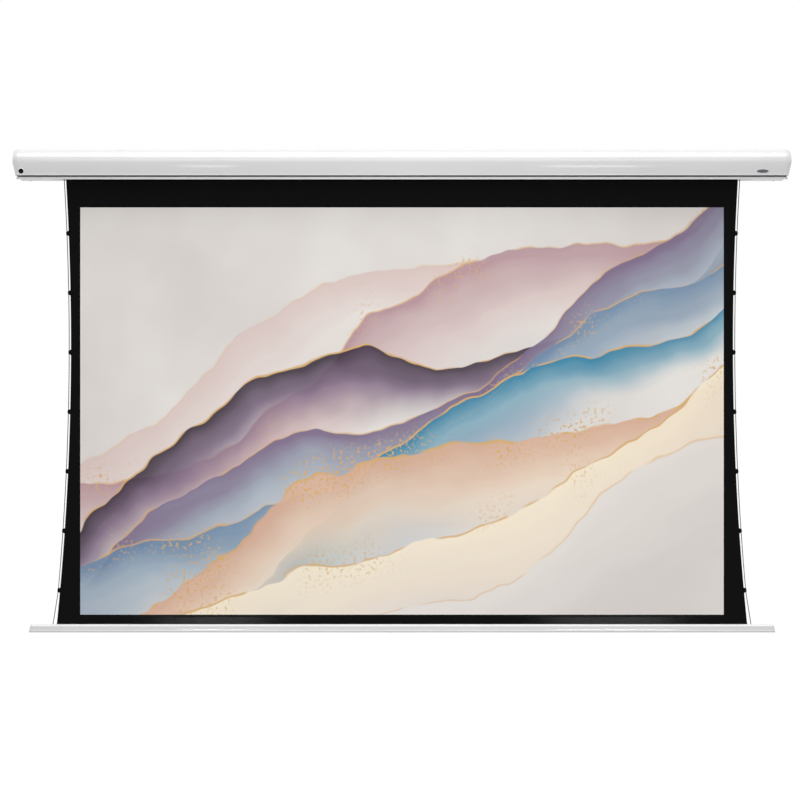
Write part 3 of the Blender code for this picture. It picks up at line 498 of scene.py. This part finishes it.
def blackFilm(name, light, dark, rough=(0.5, 0.62)):
    # black calendered PVC, heat-welded to the white: a finely ribbed band lies along each weld
    material, tree, shader = newMaterial(name)
    look = blackFilmLook
    place = clothPlace(tree)
    cloud = addNode(
        tree, "TexNoise", {"Vector": place, "Scale": 1000 / look["cloudMm"], "Detail": 3.0}
    ).outputs["Fac"]
    colour = addNode(
        tree, "Mix", {0: cloud, 6: linearColour(dark), 7: linearColour(light)}, data_type="RGBA"
    ).outputs[2]
    parts = addNode(tree, "SeparateXYZ", {"Vector": place})
    side = addNode(tree, "Math", {0: parts.outputs["X"]}, operation="ABSOLUTE").outputs[0]
    past = addNode(
        tree, "Math", {0: side, 1: sheetCut["viewHalf"]}, operation="SUBTRACT"
    ).outputs[0]
    middle = (sheetCut["viewTop"] + sheetCut["viewFoot"]) / 2
    rise = addNode(
        tree, "Math", {0: parts.outputs["Z"], 1: middle}, operation="SUBTRACT"
    ).outputs[0]
    level = addNode(tree, "Math", {0: rise}, operation="ABSOLUTE").outputs[0]
    over = addNode(
        tree, "Math", {0: level, 1: sheetCut["viewTop"] - middle}, operation="SUBTRACT"
    ).outputs[0]
    away = addNode(tree, "Math", {0: past, 1: over}, operation="MAXIMUM").outputs[0]
    weld = sheetCut["weldMm"] / 1000
    beyond = weld + look["weldEdgeMm"] / 1000
    band = addNode(
        tree,
        "MapRange",
        {"Value": away, "From Min": weld, "From Max": beyond, "To Min": 1.0, "To Max": 0.0},
    ).outputs["Result"]
    ribSize = (1000 / look["ribMm"], 1, 1000 / look["ribMm"])
    turned = addNode(
        tree, "Mapping", {"Vector": place, "Rotation": (0, math.radians(45), 0), "Scale": ribSize}
    )
    ribs = addNode(tree, "TexVoronoi", {"Vector": turned.outputs[0], "Scale": 1.0}, feature="F1")
    ribbed = addNode(tree, "Math", {0: ribs.outputs["Distance"], 1: band}, operation="MULTIPLY")
    emboss = addNode(
        tree, "TexNoise", {"Vector": place, "Scale": 1000 / look["embossMm"], "Detail": 1.0}
    ).outputs["Fac"]
    height = addNode(
        tree,
        "Math",
        {0: emboss, 1: look["embossShare"], 2: ribbed.outputs[0]},
        operation="MULTIPLY_ADD",
    ).outputs[0]
    high = look["highMm"] / 1000
    bump = addNode(tree, "Bump", {"Height": height, "Strength": look["bump"], "Distance": high})
    polish = addNode(
        tree, "MapRange", {"Value": cloud, "To Min": rough[0], "To Max": rough[1]}
    ).outputs["Result"]
    linkShader(tree, shader, base_color=colour, roughness=polish, normal=bump.outputs[0])
    shader.inputs["Specular IOR Level"].default_value = look["specular"]
    return material


cordLook = {
    "strands": 4,
    "dark": "#3c3c3b",
    "light": "#62625f",
    "rough": 0.6,
    "highMm": 0.2,
    "bump": 0.4,
}


def braidedCord():
    # round polyester braid, grey: two sets of strands cross all the way along
    material, tree, shader = newMaterial("braidedPolyesterCord")
    look = cordLook
    uv = addNode(tree, "UVMap", uv_map="cordRound").outputs["UV"]
    parts = addNode(tree, "SeparateXYZ", {"Vector": uv})
    heights = []
    for way in (1, -1):
        spiral = way * look["strands"] * 2 * math.pi
        angle = addNode(
            tree, "Math", {0: parts.outputs["X"], 1: spiral}, operation="MULTIPLY"
        ).outputs[0]
        turns = addNode(
            tree,
            "Math",
            {0: parts.outputs["Y"], 1: 2 * math.pi, 2: angle},
            operation="MULTIPLY_ADD",
        ).outputs[0]
        heights.append(addNode(tree, "Math", {0: turns}, operation="SINE").outputs[0])
    strands = addNode(tree, "Math", {0: heights[0], 1: heights[1]}, operation="MULTIPLY").outputs[0]
    tone = addNode(
        tree, "MapRange", {"Value": strands, "From Min": -1.0, "From Max": 1.0}
    ).outputs["Result"]
    # the colour is darker in the grooves between the strands: painted shade
    colour = addNode(
        tree,
        "Mix",
        {0: tone, 6: linearColour(look["dark"]), 7: linearColour(look["light"])},
        data_type="RGBA",
    ).outputs[2]
    high = look["highMm"] / 1000
    bump = addNode(tree, "Bump", {"Height": strands, "Strength": look["bump"], "Distance": high})
    linkShader(tree, shader, base_color=colour, roughness=look["rough"], normal=bump.outputs[0])
    return material


rollLook = {
    "axis": (0, 0.0736, -0.004),  # brings the roller's line to the middle of the rings
    "ringMm": 1.2,  # twice the film's thickness, so that the rings can be seen
    "cloudMm": 125,
    "dark": "#101011",
    "light": "#181819",
    "rough": 0.55,
    "highMm": 0.5,
    "bump": 0.15,
}


def rolledFilm():
    # black film wound on the roller: the turns' edges show as fine rings at its ends
    material, tree, shader = newMaterial("rolledBlackPvc")
    look = rollLook
    place = addNode(tree, "TexCoord").outputs["Object"]
    axis = addNode(tree, "Mapping", {"Vector": place, "Location": look["axis"]})
    turnScale = 100 * math.pi / look["ringMm"]  # at scale 1, 2 pi metres hold 20 rings
    rings = addNode(
        tree, "TexWave", {"Vector": axis.outputs[0], "Scale": turnScale, "Distortion": 1.0},
        wave_type="RINGS", rings_direction="X",
    ).outputs["Fac"]
    cloud = addNode(
        tree, "TexNoise", {"Vector": place, "Scale": 1000 / look["cloudMm"], "Detail": 3.0}
    ).outputs["Fac"]
    colour = addNode(
        tree, "Mix", {0: cloud, 6: linearColour(look["dark"]), 7: linearColour(look["light"])},
        data_type="RGBA",
    ).outputs[2]
    high = look["highMm"] / 1000
    bump = addNode(tree, "Bump", {"Height": rings, "Strength": look["bump"], "Distance": high})
    linkShader(tree, shader, base_color=colour, roughness=look["rough"], normal=bump.outputs[0])
    return material


made["matWhitePvcFilm"] = whiteFilm()
blackFilms = {  # light, dark and, where it isn't the usual one, roughness
    "matBlackPvcFilm": ("#0d0d0e", "#09090a"),  # almost no shine at all
    "pressedBlackPvcFilm": ("#0d0d0e", "#09090a", (0.10, 0.14)),  # a soft sheen along the foot
    "blackBackingPvc": ("#2a2a2b", "#232324"),  # a lighter black behind the white
    "weldedTabPvc": ("#0f0f10", "#0a0a0b"),  # the same film, double
}
for name, look in blackFilms.items():
    made[name] = blackFilm(name, *look)
made["braidedPolyesterCord"] = braidedCord()
made["rolledBlackPvc"] = rolledFilm()
print("materials made:", len(made))


# Finishes of the CAD nodes that stay

nodeFinishes = {
    "zincPlatedSteel": [
        "end_cap_screw_left_top", "end_cap_screw_left_low", "end_cap_screw_right_top",
        "end_cap_screw_right_low", "panel_screw_left", "panel_screw_right", "wall_bracket_left",
        "wall_bracket_right", "motor_bracket", "idler_bracket", "motor_body", "idler_pin",
        "hem_rod", "weight_rod", "string_anchor_left", "string_anchor_right",
    ],
    "solderMaskBoard": ["receiver_board"],
    "mouldedBlackAbs": ["control_box", "power_inlet"],
    "mouldedDarkNylon": ["motor_head"],
    "sinteredBronze": ["idler_bush"],
    "extrudedAluminium": ["roller_tube"],
    "mouldedGreyNylon": [
        "bearing_crown", "drive_wheel", "idler_plug", "string_drum_left", "string_drum_right",
    ],
    "rolledBlackPvc": ["fabric_roll"],
}
for finish, names in nodeFinishes.items():
    for name in names:
        slots = cadNodes[name].data.materials
        slots.clear()
        slots.append(made[finish])


# White pieces: copies of their solids with softened edges

hoodShape = {
    "edgeZ": -0.0495,
    "softBelow": -0.032,  # the front is flat from here down, and rounds into the arc above
    "flareZ": -0.0445,
    "flareMm": (1.1, 2.4),  # the lowest strip turns out and down by this much
    "flareBack": -0.1055,  # only what is in front of this
    "lipBack": -0.0945,
    "lipMm": 7.5,  # the bottom panel's front edge is folded down
    "undersideZ": -0.058,
    "recessZ": -0.056,
    "edgeMm": 0.5,
}
barShape = {
    "ledge": (-1.8655, -1.8681),
    "ledgeMm": 1.6,
    "middleY": -0.040,
    "slotHalf": 0.003,  # nearer to the middle than this, the bar keeps its shape
    "edgeMm": 0.4,
}
holdMm = 0.5  # a second cut this near keeps smooth shading from spreading off a crease
roundedEdge = {"longerThan": 1.0, "sharperThan": 30, "segments": 2}
joinWithin, flatDegrees, sameHeight = 1e-6, 0.4, 1e-4


def joinFlatFaces(bm):
    flat = math.radians(flatDegrees)
    bmesh.ops.dissolve_limit(bm, angle_limit=flat, verts=bm.verts, edges=bm.edges)


def copyOfNode(name):  # loose triangles joined up again, flat faces made whole
    bm = bmesh.new()
    bm.from_mesh(cadNodes[name].data)
    bmesh.ops.remove_doubles(bm, verts=bm.verts, dist=joinWithin)
    joinFlatFaces(bm)
    return bm


def cutAcross(bm, place, facing):
    everything = bm.verts[:] + bm.edges[:] + bm.faces[:]
    bmesh.ops.bisect_plane(bm, geom=everything, dist=joinWithin, plane_co=place, plane_no=facing)


def roundLongEdges(bm, width):
    length, angle = roundedEdge["longerThan"], math.radians(roundedEdge["sharperThan"])
    long = [e for e in bm.edges if e.calc_length() > length and len(e.link_faces) == 2]
    sharp = [e for e in long if e.calc_face_angle(0) > angle]
    bmesh.ops.bevel(
        bm, geom=sharp, offset=width, offset_type="OFFSET", affect="EDGES",
        segments=roundedEdge["segments"], profile=0.5, material=-1, clamp_overlap=True,
    )


def shapeHood(bm):
    top, edge = hoodShape["flareZ"], hoodShape["edgeZ"]
    for z in (hoodShape["softBelow"], top + holdMm / 1000, top, top - holdMm / 1000):
        cutAcross(bm, (0, 0, z), (0, 0, 1))
    out, down = (mm / 1000 for mm in hoodShape["flareMm"])
    for v in bm.verts:
        share = (top - v.co.z) / (top - edge)
        if 0 < share < 1.01 and v.co.y < hoodShape["flareBack"]:
            v.co += Vector((0, -out, -down)) * share


def foldLipDown(bm):
    cutAcross(bm, (0, hoodShape["lipBack"], 0), (0, 1, 0))
    under = [
        f
        for f in bm.faces
        if f.normal.z < -0.99
        and abs(f.calc_center_median().z - hoodShape["undersideZ"]) < sameHeight
        and f.calc_center_median().y < hoodShape["lipBack"]
    ]
    folded = bmesh.ops.extrude_discrete_faces(bm, faces=under)["faces"]
    verts = list({v for f in folded for v in f.verts})
    bmesh.ops.translate(bm, verts=verts, vec=(0, 0, -hoodShape["lipMm"] / 1000))
    joinFlatFaces(bm)


def shapeLedge(bm):
    top, foot = barShape["ledge"]
    for z in (top + holdMm / 1000, top, foot, foot - holdMm / 1000):
        cutAcross(bm, (0, 0, z), (0, 0, 1))
    middle = barShape["middleY"]
    for side in (-1, 1):
        upper = [
            v for v in bm.verts
            if v.co.z > top - 1e-5 and side * (v.co.y - middle) > barShape["slotHalf"]
        ]
        bmesh.ops.translate(bm, verts=upper, vec=(0, -side * barShape["ledgeMm"] / 1000, 0))


def whitePiece(node, finish, body, shapes, edge):
    bm = copyOfNode(node)
    for shape in shapes:
        shape(bm)
    roundLongEdges(bm, edge / 1000)
    finishList = [made[finish]]
    if foldLipDown in shapes:  # the recess behind the lip gets the grey painted shade
        finishList.append(made["paintedRecessShade"])
        for face in bm.faces:
            heights = [v.co.z for v in face.verts]
            recess = min(heights) > hoodShape["recessZ"] - sameHeight
            low = max(heights) < hoodShape["edgeZ"] + sameHeight
            if recess and (node == "bottom_panel" or low):
                face.material_index = 1
    softShading(bm, "case")
    piece = addPiece(f"{node}_finished", bm, finishList, body)
    oldShading = piece.data.attributes.get("custom_normal")  # came along with the solid
    if oldShading:
        piece.data.attributes.remove(oldShading)
    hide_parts(node)


whitePiece("case_shell", "satinPowderCoat", "housing", [shapeHood], hoodShape["edgeMm"])
whitePiece("bottom_panel", "paintedLightPowderCoat", "housing", [foldLipDown], hoodShape["edgeMm"])
whitePiece("weight_bar", "satinPowderCoat", "bar", [shapeLedge], barShape["edgeMm"])
for word in ("left", "right"):
    shapes = [shapeHood, foldLipDown]
    whitePiece(f"end_cap_{word}", "mouldedWhiteAbs", "housing", shapes, hoodShape["edgeMm"])
    whitePiece(f"bar_cap_{word}", "mouldedWhiteAbs", "bar", [shapeLedge], barShape["edgeMm"])
print("case and bar done")


# Infra-red window and plain badge, on the front of the hood

fittings = {
    "slope": math.atan2(0.006, 0.0475),  # the hood's front leans in below its widest line
    "widest": (-0.116, -0.002),
    "windowX": -1.5125,
    "badgeX": 1.432,
    "height": -0.0355,
    "ringMm": [
        (10.4, -1.5), (10.4, 0.5), (10.8, 1.0), (11.4, 1.2), (12.2, 1.0), (12.8, 0.4), (12.9, -0.4),
    ],
    "lensMm": [(0, -1.2), (10.2, -1.2), (10.2, 0.1), (9.0, 0.5), (7.0, 0.8), (4.0, 1.0), (0, 1.1)],
    "badgeMm": (46, 13),
    "badgeRiseMm": 1.0,
    "rimMm": 0.9,
    "rimDropMm": 0.35,
    "rimSlopeMm": 0.3,
}


def onHood(bm, x):
    z = fittings["height"]
    widestY, widestZ = fittings["widest"]
    y = widestY + (widestZ - z) * math.tan(fittings["slope"])
    turn = Matrix.Rotation(math.radians(90) + fittings["slope"], 4, "X")
    bmesh.ops.transform(bm, matrix=Matrix.Translation((x, y, z)) @ turn, verts=bm.verts)


def spunPiece(name, profile, closed, finish):
    bm = bmesh.new()
    verts = [bm.verts.new((r / 1000, 0, h / 1000)) for r, h in profile]
    edges = [bm.edges.new(pair) for pair in zip(verts, verts[1:])]
    if closed:
        edges.append(bm.edges.new((verts[-1], verts[0])))
    bmesh.ops.spin(
        bm, geom=verts + edges, cent=(0, 0, 0), axis=(0, 0, 1), angle=2 * math.pi, steps=48,
        use_merge=True,
    )
    bmesh.ops.remove_doubles(bm, verts=bm.verts, dist=joinWithin)
    bmesh.ops.recalc_face_normals(bm, faces=bm.faces)
    onHood(bm, fittings["windowX"])
    softShading(bm, "window")
    return addPiece(name, bm, made[finish], "housing")


ring = spunPiece("window_ring", fittings["ringMm"], True, "polishedWhiteAbs")
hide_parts("ir_bezel")
lens = spunPiece("window_lens", fittings["lensMm"], False, "smokedAcrylic")
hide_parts("ir_window")


def ovalBadge():
    bm = bmesh.new()
    outline = bmesh.ops.create_circle(bm, cap_ends=True, radius=0.5, segments=64)["verts"]
    long, high = (mm / 1000 for mm in fittings["badgeMm"])
    bmesh.ops.scale(bm, vec=(long, high, 1), verts=outline)
    plate = bm.faces[:]
    grown = bmesh.ops.extrude_face_region(bm, geom=plate, use_keep_orig=True)["geom"]
    top = [f for f in grown if isinstance(f, bmesh.types.BMFace)]
    bmesh.ops.translate(bm, verts=list(top[0].verts), vec=(0, 0, fittings["badgeRiseMm"] / 1000))
    bmesh.ops.inset_region(bm, faces=top, thickness=fittings["rimMm"] / 1000, use_even_offset=True)
    rimSlope, rimDrop = fittings["rimSlopeMm"] / 1000, fittings["rimDropMm"] / 1000
    bmesh.ops.inset_region(bm, faces=top, thickness=rimSlope, depth=-rimDrop)
    bmesh.ops.recalc_face_normals(bm, faces=bm.faces)
    onHood(bm, fittings["badgeX"])
    softShading(bm, "badge")
    piece = addPiece("oval_badge", bm, made["anodisedBadge"], "housing")
    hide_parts("badge")


ovalBadge()
print("fittings done")


# The sheet: five welded panels, drawn tight between the roller, the strings and the bar

barTop = sheetCut["footZ"] + sheetCut["inBar"]


def squashWithLift(piece):  # gives the piece a mesh of its own
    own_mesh(piece)


def markCut(piece):  # keeps each point's place on the flat cut, for the pattern
    mesh = piece.data
    layer = mesh.attributes.new("cutPlace", "FLOAT_VECTOR", "POINT")
    layer.data.foreach_set("vector", [c for v in mesh.vertices for c in v.co])


def sheetPanel(name, node, columns, rows, top, foot, left, right, front, back):
    # left and right give the edges at a height, front and back the two films
    bm = bmesh.new()
    bmesh.ops.create_grid(bm, x_segments=columns, y_segments=rows, size=0.5)
    frontY = sheetCut["middleY"] - sheetCut["thickness"] / 2
    for v in bm.verts:
        across, up = v.co.x + 0.5, v.co.y + 0.5
        z = foot + (top - foot) * up
        v.co = (left(z) + (right(z) - left(z)) * across, frontY, z)
    bmesh.ops.recalc_face_normals(bm, faces=bm.faces)
    if bm.faces[:][0].normal.y > 0:
        bmesh.ops.reverse_faces(bm, faces=bm.faces)
    bmesh.ops.solidify(bm, geom=bm.faces[:], thickness=sheetCut["thickness"])
    for face in bm.faces:
        face.material_index = 0 if face.normal.y < -0.5 else 1
    piece = addPiece(name, bm, [made[front], made[back]], "housing")
    markCut(piece)
    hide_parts(node)
    return piece


viewTop, viewFoot, viewHalf = sheetCut["viewTop"], sheetCut["viewFoot"], sheetCut["viewHalf"]
panels = [
    ("black_top_drop", "top_drop", 40, 8, sheetCut["rollZ"], viewTop,
     lambda z: -halfWidth(z), halfWidth, "matBlackPvcFilm", "matBlackPvcFilm"),
    ("white_surface", "viewing_surface", 60, 38, viewTop, viewFoot,
     lambda z: -viewHalf, lambda z: viewHalf, "matWhitePvcFilm", "blackBackingPvc"),
    ("black_side_left", "side_border_left", 3, 60, viewTop, viewFoot,
     lambda z: -halfWidth(z), lambda z: -viewHalf, "matBlackPvcFilm", "matBlackPvcFilm"),
    ("black_side_right", "side_border_right", 3, 60, viewTop, viewFoot,
     lambda z: viewHalf, halfWidth, "matBlackPvcFilm", "matBlackPvcFilm"),
    ("black_foot_border", "bottom_border", 60, 3, viewFoot, sheetCut["footZ"],
     lambda z: -halfWidth(z), halfWidth, "pressedBlackPvcFilm", "matBlackPvcFilm"),
]
sheetPieces = {}
for panel in panels:
    piece = sheetPanel(*panel)
    top, foot = panel[4], panel[5]
    widest = max(panel[7](z) - panel[6](z) for z in (top, foot))
    steps = 40
    strip = (top - foot) / steps
    middles = [foot + strip * (i + 0.5) for i in range(steps)]
    area = sum(strip * (panel[7](z) - panel[6](z)) for z in middles)
    sheetPieces[piece.name] = piece
print("sheet done")


# Tabs: a strip of black film folded round the string and welded behind the sheet's edge

tabShape = {
    "count": 7,
    "first": -0.2744,
    "pitch": 0.239,
    "baseMm": 22,
    "tipMm": 11,
    "reachMm": 10.5,
    "stringMm": 7,
    "loopMm": (3.4, 2.4),
    "holeMm": 1.9,
    "wrapDegrees": 250,
    "neckMm": 0.3,
    "behindMm": 0.4,
    "legMm": 20,
    "filmMm": 0.7,
}


def tabProfile():  # seen from above: welded leg behind the edge, then the fold round the string
    film, neck, behind, end = (tabShape[key] for key in ("filmMm", "neckMm", "behindMm", "legMm"))
    rx, ry = tabShape["loopMm"]
    wrap = tabShape["wrapDegrees"]
    steps = 18
    loop = []
    for i in range(steps + 1):
        angle = math.radians(-wrap / 2 + wrap * i / steps)
        loop.append((tabShape["stringMm"] + rx * math.cos(angle), ry * math.sin(angle)))
    leg = [(neck, behind + film), (-end, behind + film), (-end, behind), (neck, behind)]
    outer = loop + leg + [(neck, -film)]
    hole = [
        (
            tabShape["stringMm"] + tabShape["holeMm"] * math.cos(2 * math.pi * i / 14),
            tabShape["holeMm"] * math.sin(2 * math.pi * i / 14),
        )
        for i in range(14)
    ]
    return outer, hole


def makeTab(name, side, z):
    bm = bmesh.new()
    edges = []
    for loop in tabProfile():
        verts = [bm.verts.new((x / 1000, y / 1000, -0.5)) for x, y in loop]
        edges += [bm.edges.new((verts[i - 1], verts[i])) for i in range(len(verts))]
    bmesh.ops.triangle_fill(bm, edges=edges, use_beauty=True)
    grown = bmesh.ops.extrude_face_region(bm, geom=bm.faces[:], use_keep_orig=True)
    raised = [v for v in grown["geom"] if isinstance(v, bmesh.types.BMVert)]
    bmesh.ops.translate(bm, verts=raised, vec=(0, 0, 1))
    base, tip, reach = (tabShape[key] / 1000 for key in ("baseMm", "tipMm", "reachMm"))
    for v in bm.verts:
        share = min(max(v.co.x / reach, 0), 1)
        v.co.z *= base + (tip - base) * share
    lean = math.atan(2 * sheetCut["edgeCurve"] * (z - sheetCut["waistZ"]))
    place = Matrix.Translation((side * halfWidth(z), sheetCut["middleY"], z))
    place @= Matrix.Diagonal((side, 1, 1, 1)) @ Matrix.Rotation(lean, 4, "Y")
    bmesh.ops.transform(bm, matrix=place, verts=bm.verts)
    bmesh.ops.recalc_face_normals(bm, faces=bm.faces)
    softShading(bm, "tab")
    piece = addPiece(name, bm, made["weldedTabPvc"], "housing")
    markCut(piece)
    return piece


tabs = []
for word, side in (("left", -1), ("right", 1)):
    for i in range(tabShape["count"]):
        z = tabShape["first"] - i * tabShape["pitch"]
        piece = makeTab(f"tab_folded_{word}_{i + 1}", side, z)
        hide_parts(f"tab_{word}_{i + 1}")
        tabs.append(piece)
print("tabs done:", len(tabs))


# Strings: one round braid down each side, through the tabs and into the bar

stringShape = {
    "radius": 0.0017,
    "fromEdge": 0.007,
    "atBar": 1.402,
    "inBar": 0.0097,
    "step": 0.03,
    "braidMm": 5,
    "sides": 10,
}


def stringRoute(side):
    lastTab = tabShape["first"] - (tabShape["count"] - 1) * tabShape["pitch"]
    lastTab -= tabShape["baseMm"] / 2000
    top, y = sheetCut["rollZ"], sheetCut["middleY"]
    count = round((top - lastTab) / stringShape["step"])
    heights = [top + (lastTab - top) * i / count for i in range(count + 1)]
    fromEdge, foot = stringShape["fromEdge"], side * stringShape["atBar"]
    points = [Vector((side * (halfWidth(z) + fromEdge), y, z)) for z in heights]
    return points + [Vector((foot, y, z)) for z in (barTop, barTop - stringShape["inBar"])]


def makeString(name, side):
    # a ring of points is extruded along the route, and its share of the way is kept for the braid
    points = stringRoute(side)
    bm = bmesh.new()
    sides = stringShape["sides"]
    around = bm.loops.layers.uv.new("cordRound")
    radius = stringShape["radius"]
    ring = bmesh.ops.create_circle(bm, cap_ends=False, radius=radius, segments=sides)["verts"]
    bmesh.ops.translate(bm, verts=ring, vec=points[0])
    start = list(ring)
    travelled = 0.0
    pitch = stringShape["braidMm"] / 1000
    for last, point in zip(points, points[1:]):
        rows = [e for e in bm.edges if all(v in ring for v in e.verts)]
        grown = bmesh.ops.extrude_edge_only(bm, edges=rows)["geom"]
        fresh = [v for v in grown if isinstance(v, bmesh.types.BMVert)]
        bmesh.ops.translate(bm, verts=fresh, vec=point - last)
        length = (point - last).length
        for face in [f for f in grown if isinstance(f, bmesh.types.BMFace)]:
            angles = []
            for loop in face.loops:
                at = point if loop.vert in fresh else last
                spoke = loop.vert.co - at
                angles.append(math.atan2(spoke.y, spoke.x) / (2 * math.pi) % 1)
            if max(angles) - min(angles) > 0.5:
                angles = [a + 1 if a < 0.5 else a for a in angles]
            for loop, angle in zip(face.loops, angles):
                done = travelled + (length if loop.vert in fresh else 0)
                loop[around].uv = (angle, done / pitch)
        travelled += length
        ring = fresh
    for end in (start, ring):
        bmesh.ops.contextual_create(bm, geom=end)
    bmesh.ops.recalc_face_normals(bm, faces=bm.faces)
    softShading(bm, "string")
    piece = addPiece(name, bm, made["braidedPolyesterCord"], "housing")
    print(name, "is", round(travelled, 3), "m long")
    return piece


strings = []
for word, side in (("left", -1), ("right", 1)):
    piece = makeString(f"braided_string_{word}", side)
    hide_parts(f"tension_string_{word}")
    strings.append(piece)

for piece in [*sheetPieces.values(), *tabs, *strings]:
    squashWithLift(piece)


# Light, floor and background

studio = {
    "floorZ": -3.4,
    "floorHalf": 60,
    "floorColours": ("#acacac", "#aeaeae"),
    "floorCloudMm": 2500,
    "floorGlow": 0.49,  # only for the camera and reflections, so that the lit floor is white
    "air": (0.06, 1.42),  # all round, and how much more overhead
    "sun": {"height": 70, "away": 4, "spread": 44, "strength": 1.73},
    "boxes": {  # place, aim, size and power
        "front": ((0, -6.1, 3.4), (0, 0, -0.4), (6.0, 2.2), 44),
        "middle": ((0, -2.7, -0.45), (0, 0, -0.45), (0.8, 0.8), 14),
        # these four show only as soft streaks on the hood and along the foot
        "left": ((-1.55, -6.2, 0.027), (-0.8, 0, 0), (0.38, 0.32), 1.9),
        "right": ((1.56, -6.2, 0.027), (0.8, 0, 0), (0.76, 0.32), 3.8),
        "lowLeft": ((-1.52, -6.2, -2.7), (-0.8, 0, -1.8), (0.8, 0.12), 10.5),
        "lowRight": ((1.71, -6.2, -2.7), (0.8, 0, -1.8), (0.95, 0.12), 12.5),
    },
}


def placeLamp(name, data, place, aim):
    lamp = bpy.data.objects.new(name, data)
    lamp.location = place
    lamp.rotation_euler = (Vector(aim) - Vector(place)).to_track_quat("-Z", "Y").to_euler()
    bpy.context.scene.collection.objects.link(lamp)
    return lamp


for name, (place, aim, size, power) in studio["boxes"].items():
    data = bpy.data.lights.new(f"softbox_{name}", "AREA")
    data.shape = "RECTANGLE"
    data.size, data.size_y = size
    data.energy = power
    lamp = placeLamp(f"softbox_{name}", data, place, aim)
    lamp.visible_glossy = name != "middle"

sun = studio["sun"]
height, away = math.radians(sun["height"]), sun["away"]
data = bpy.data.lights.new("overhead", "SUN")
data.energy = sun["strength"]
data.angle = math.radians(sun["spread"])
placeLamp("overhead", data, (0, -away * math.cos(height), away * math.sin(height)), (0, 0, 0))


def seenDirectly(tree):  # 1 for what the camera sees straight, in a reflection or through glass
    rays = addNode(tree, "LightPath")
    seen = rays.outputs["Is Camera Ray"]
    for way in ("Is Glossy Ray", "Is Transmission Ray"):
        values = {0: seen, 1: rays.outputs[way]}
        seen = addNode(tree, "Math", values, operation="MAXIMUM").outputs[0]
    return seen


world = bpy.data.worlds.new("studio")
world.use_nodes = True
bpy.context.scene.world = world
tree = world.node_tree
tree.nodes.clear()
around = addNode(tree, "TexCoord").outputs["Generated"]
upward = addNode(tree, "SeparateXYZ", {"Vector": around}).outputs["Z"]
upward = addNode(tree, "Math", {0: upward, 1: 0.0}, operation="MAXIMUM").outputs[0]
squared = addNode(tree, "Math", {0: upward, 1: 2.0}, operation="POWER").outputs[0]
level = addNode(
    tree, "Math", {0: squared, 1: studio["air"][1], 2: studio["air"][0]}, operation="MULTIPLY_ADD"
).outputs[0]
air = addNode(tree, "Background", {"Color": (1, 1, 1, 1), "Strength": level})
white = addNode(tree, "Background", {"Color": (1, 1, 1, 1), "Strength": 1.0})
both = addNode(tree, "MixShader", {0: seenDirectly(tree), 1: air.outputs[0], 2: white.outputs[0]})
addNode(tree, "OutputWorld", {"Surface": both.outputs[0]})


def makeFloor():
    # pale seamless floor: white to the camera where it is lit, with the object's shadow left on it
    material, tree, shader = newMaterial("paleStudioFloor")
    place = addNode(tree, "TexCoord").outputs["Object"]
    cloud = addNode(
        tree, "TexNoise", {"Vector": place, "Scale": 1000 / studio["floorCloudMm"], "Detail": 2.0}
    ).outputs["Fac"]
    dark, light = (linearColour(code) for code in studio["floorColours"])
    colour = addNode(tree, "Mix", {0: cloud, 6: dark, 7: light}, data_type="RGBA").outputs[2]
    linkShader(tree, shader, base_color=colour, roughness=0.9)
    glow = addNode(
        tree, "Math", {0: seenDirectly(tree), 1: studio["floorGlow"]}, operation="MULTIPLY"
    ).outputs[0]
    linkShader(tree, shader, emission_color=(1, 1, 1, 1), emission_strength=glow)
    shader.inputs["Specular IOR Level"].default_value = 0.0
    bm = bmesh.new()
    bmesh.ops.create_grid(bm, x_segments=2, y_segments=2, size=studio["floorHalf"])
    bmesh.ops.translate(bm, verts=bm.verts, vec=(0, 0, studio["floorZ"]))
    mesh = bpy.data.meshes.new("floor")
    bm.to_mesh(mesh)
    bm.free()
    mesh.materials.append(material)
    floor = bpy.data.objects.new("floor", mesh)
    bpy.context.scene.collection.objects.link(floor)


makeFloor()
bpy.context.scene.view_settings.view_transform = "Standard"
print("studio done")
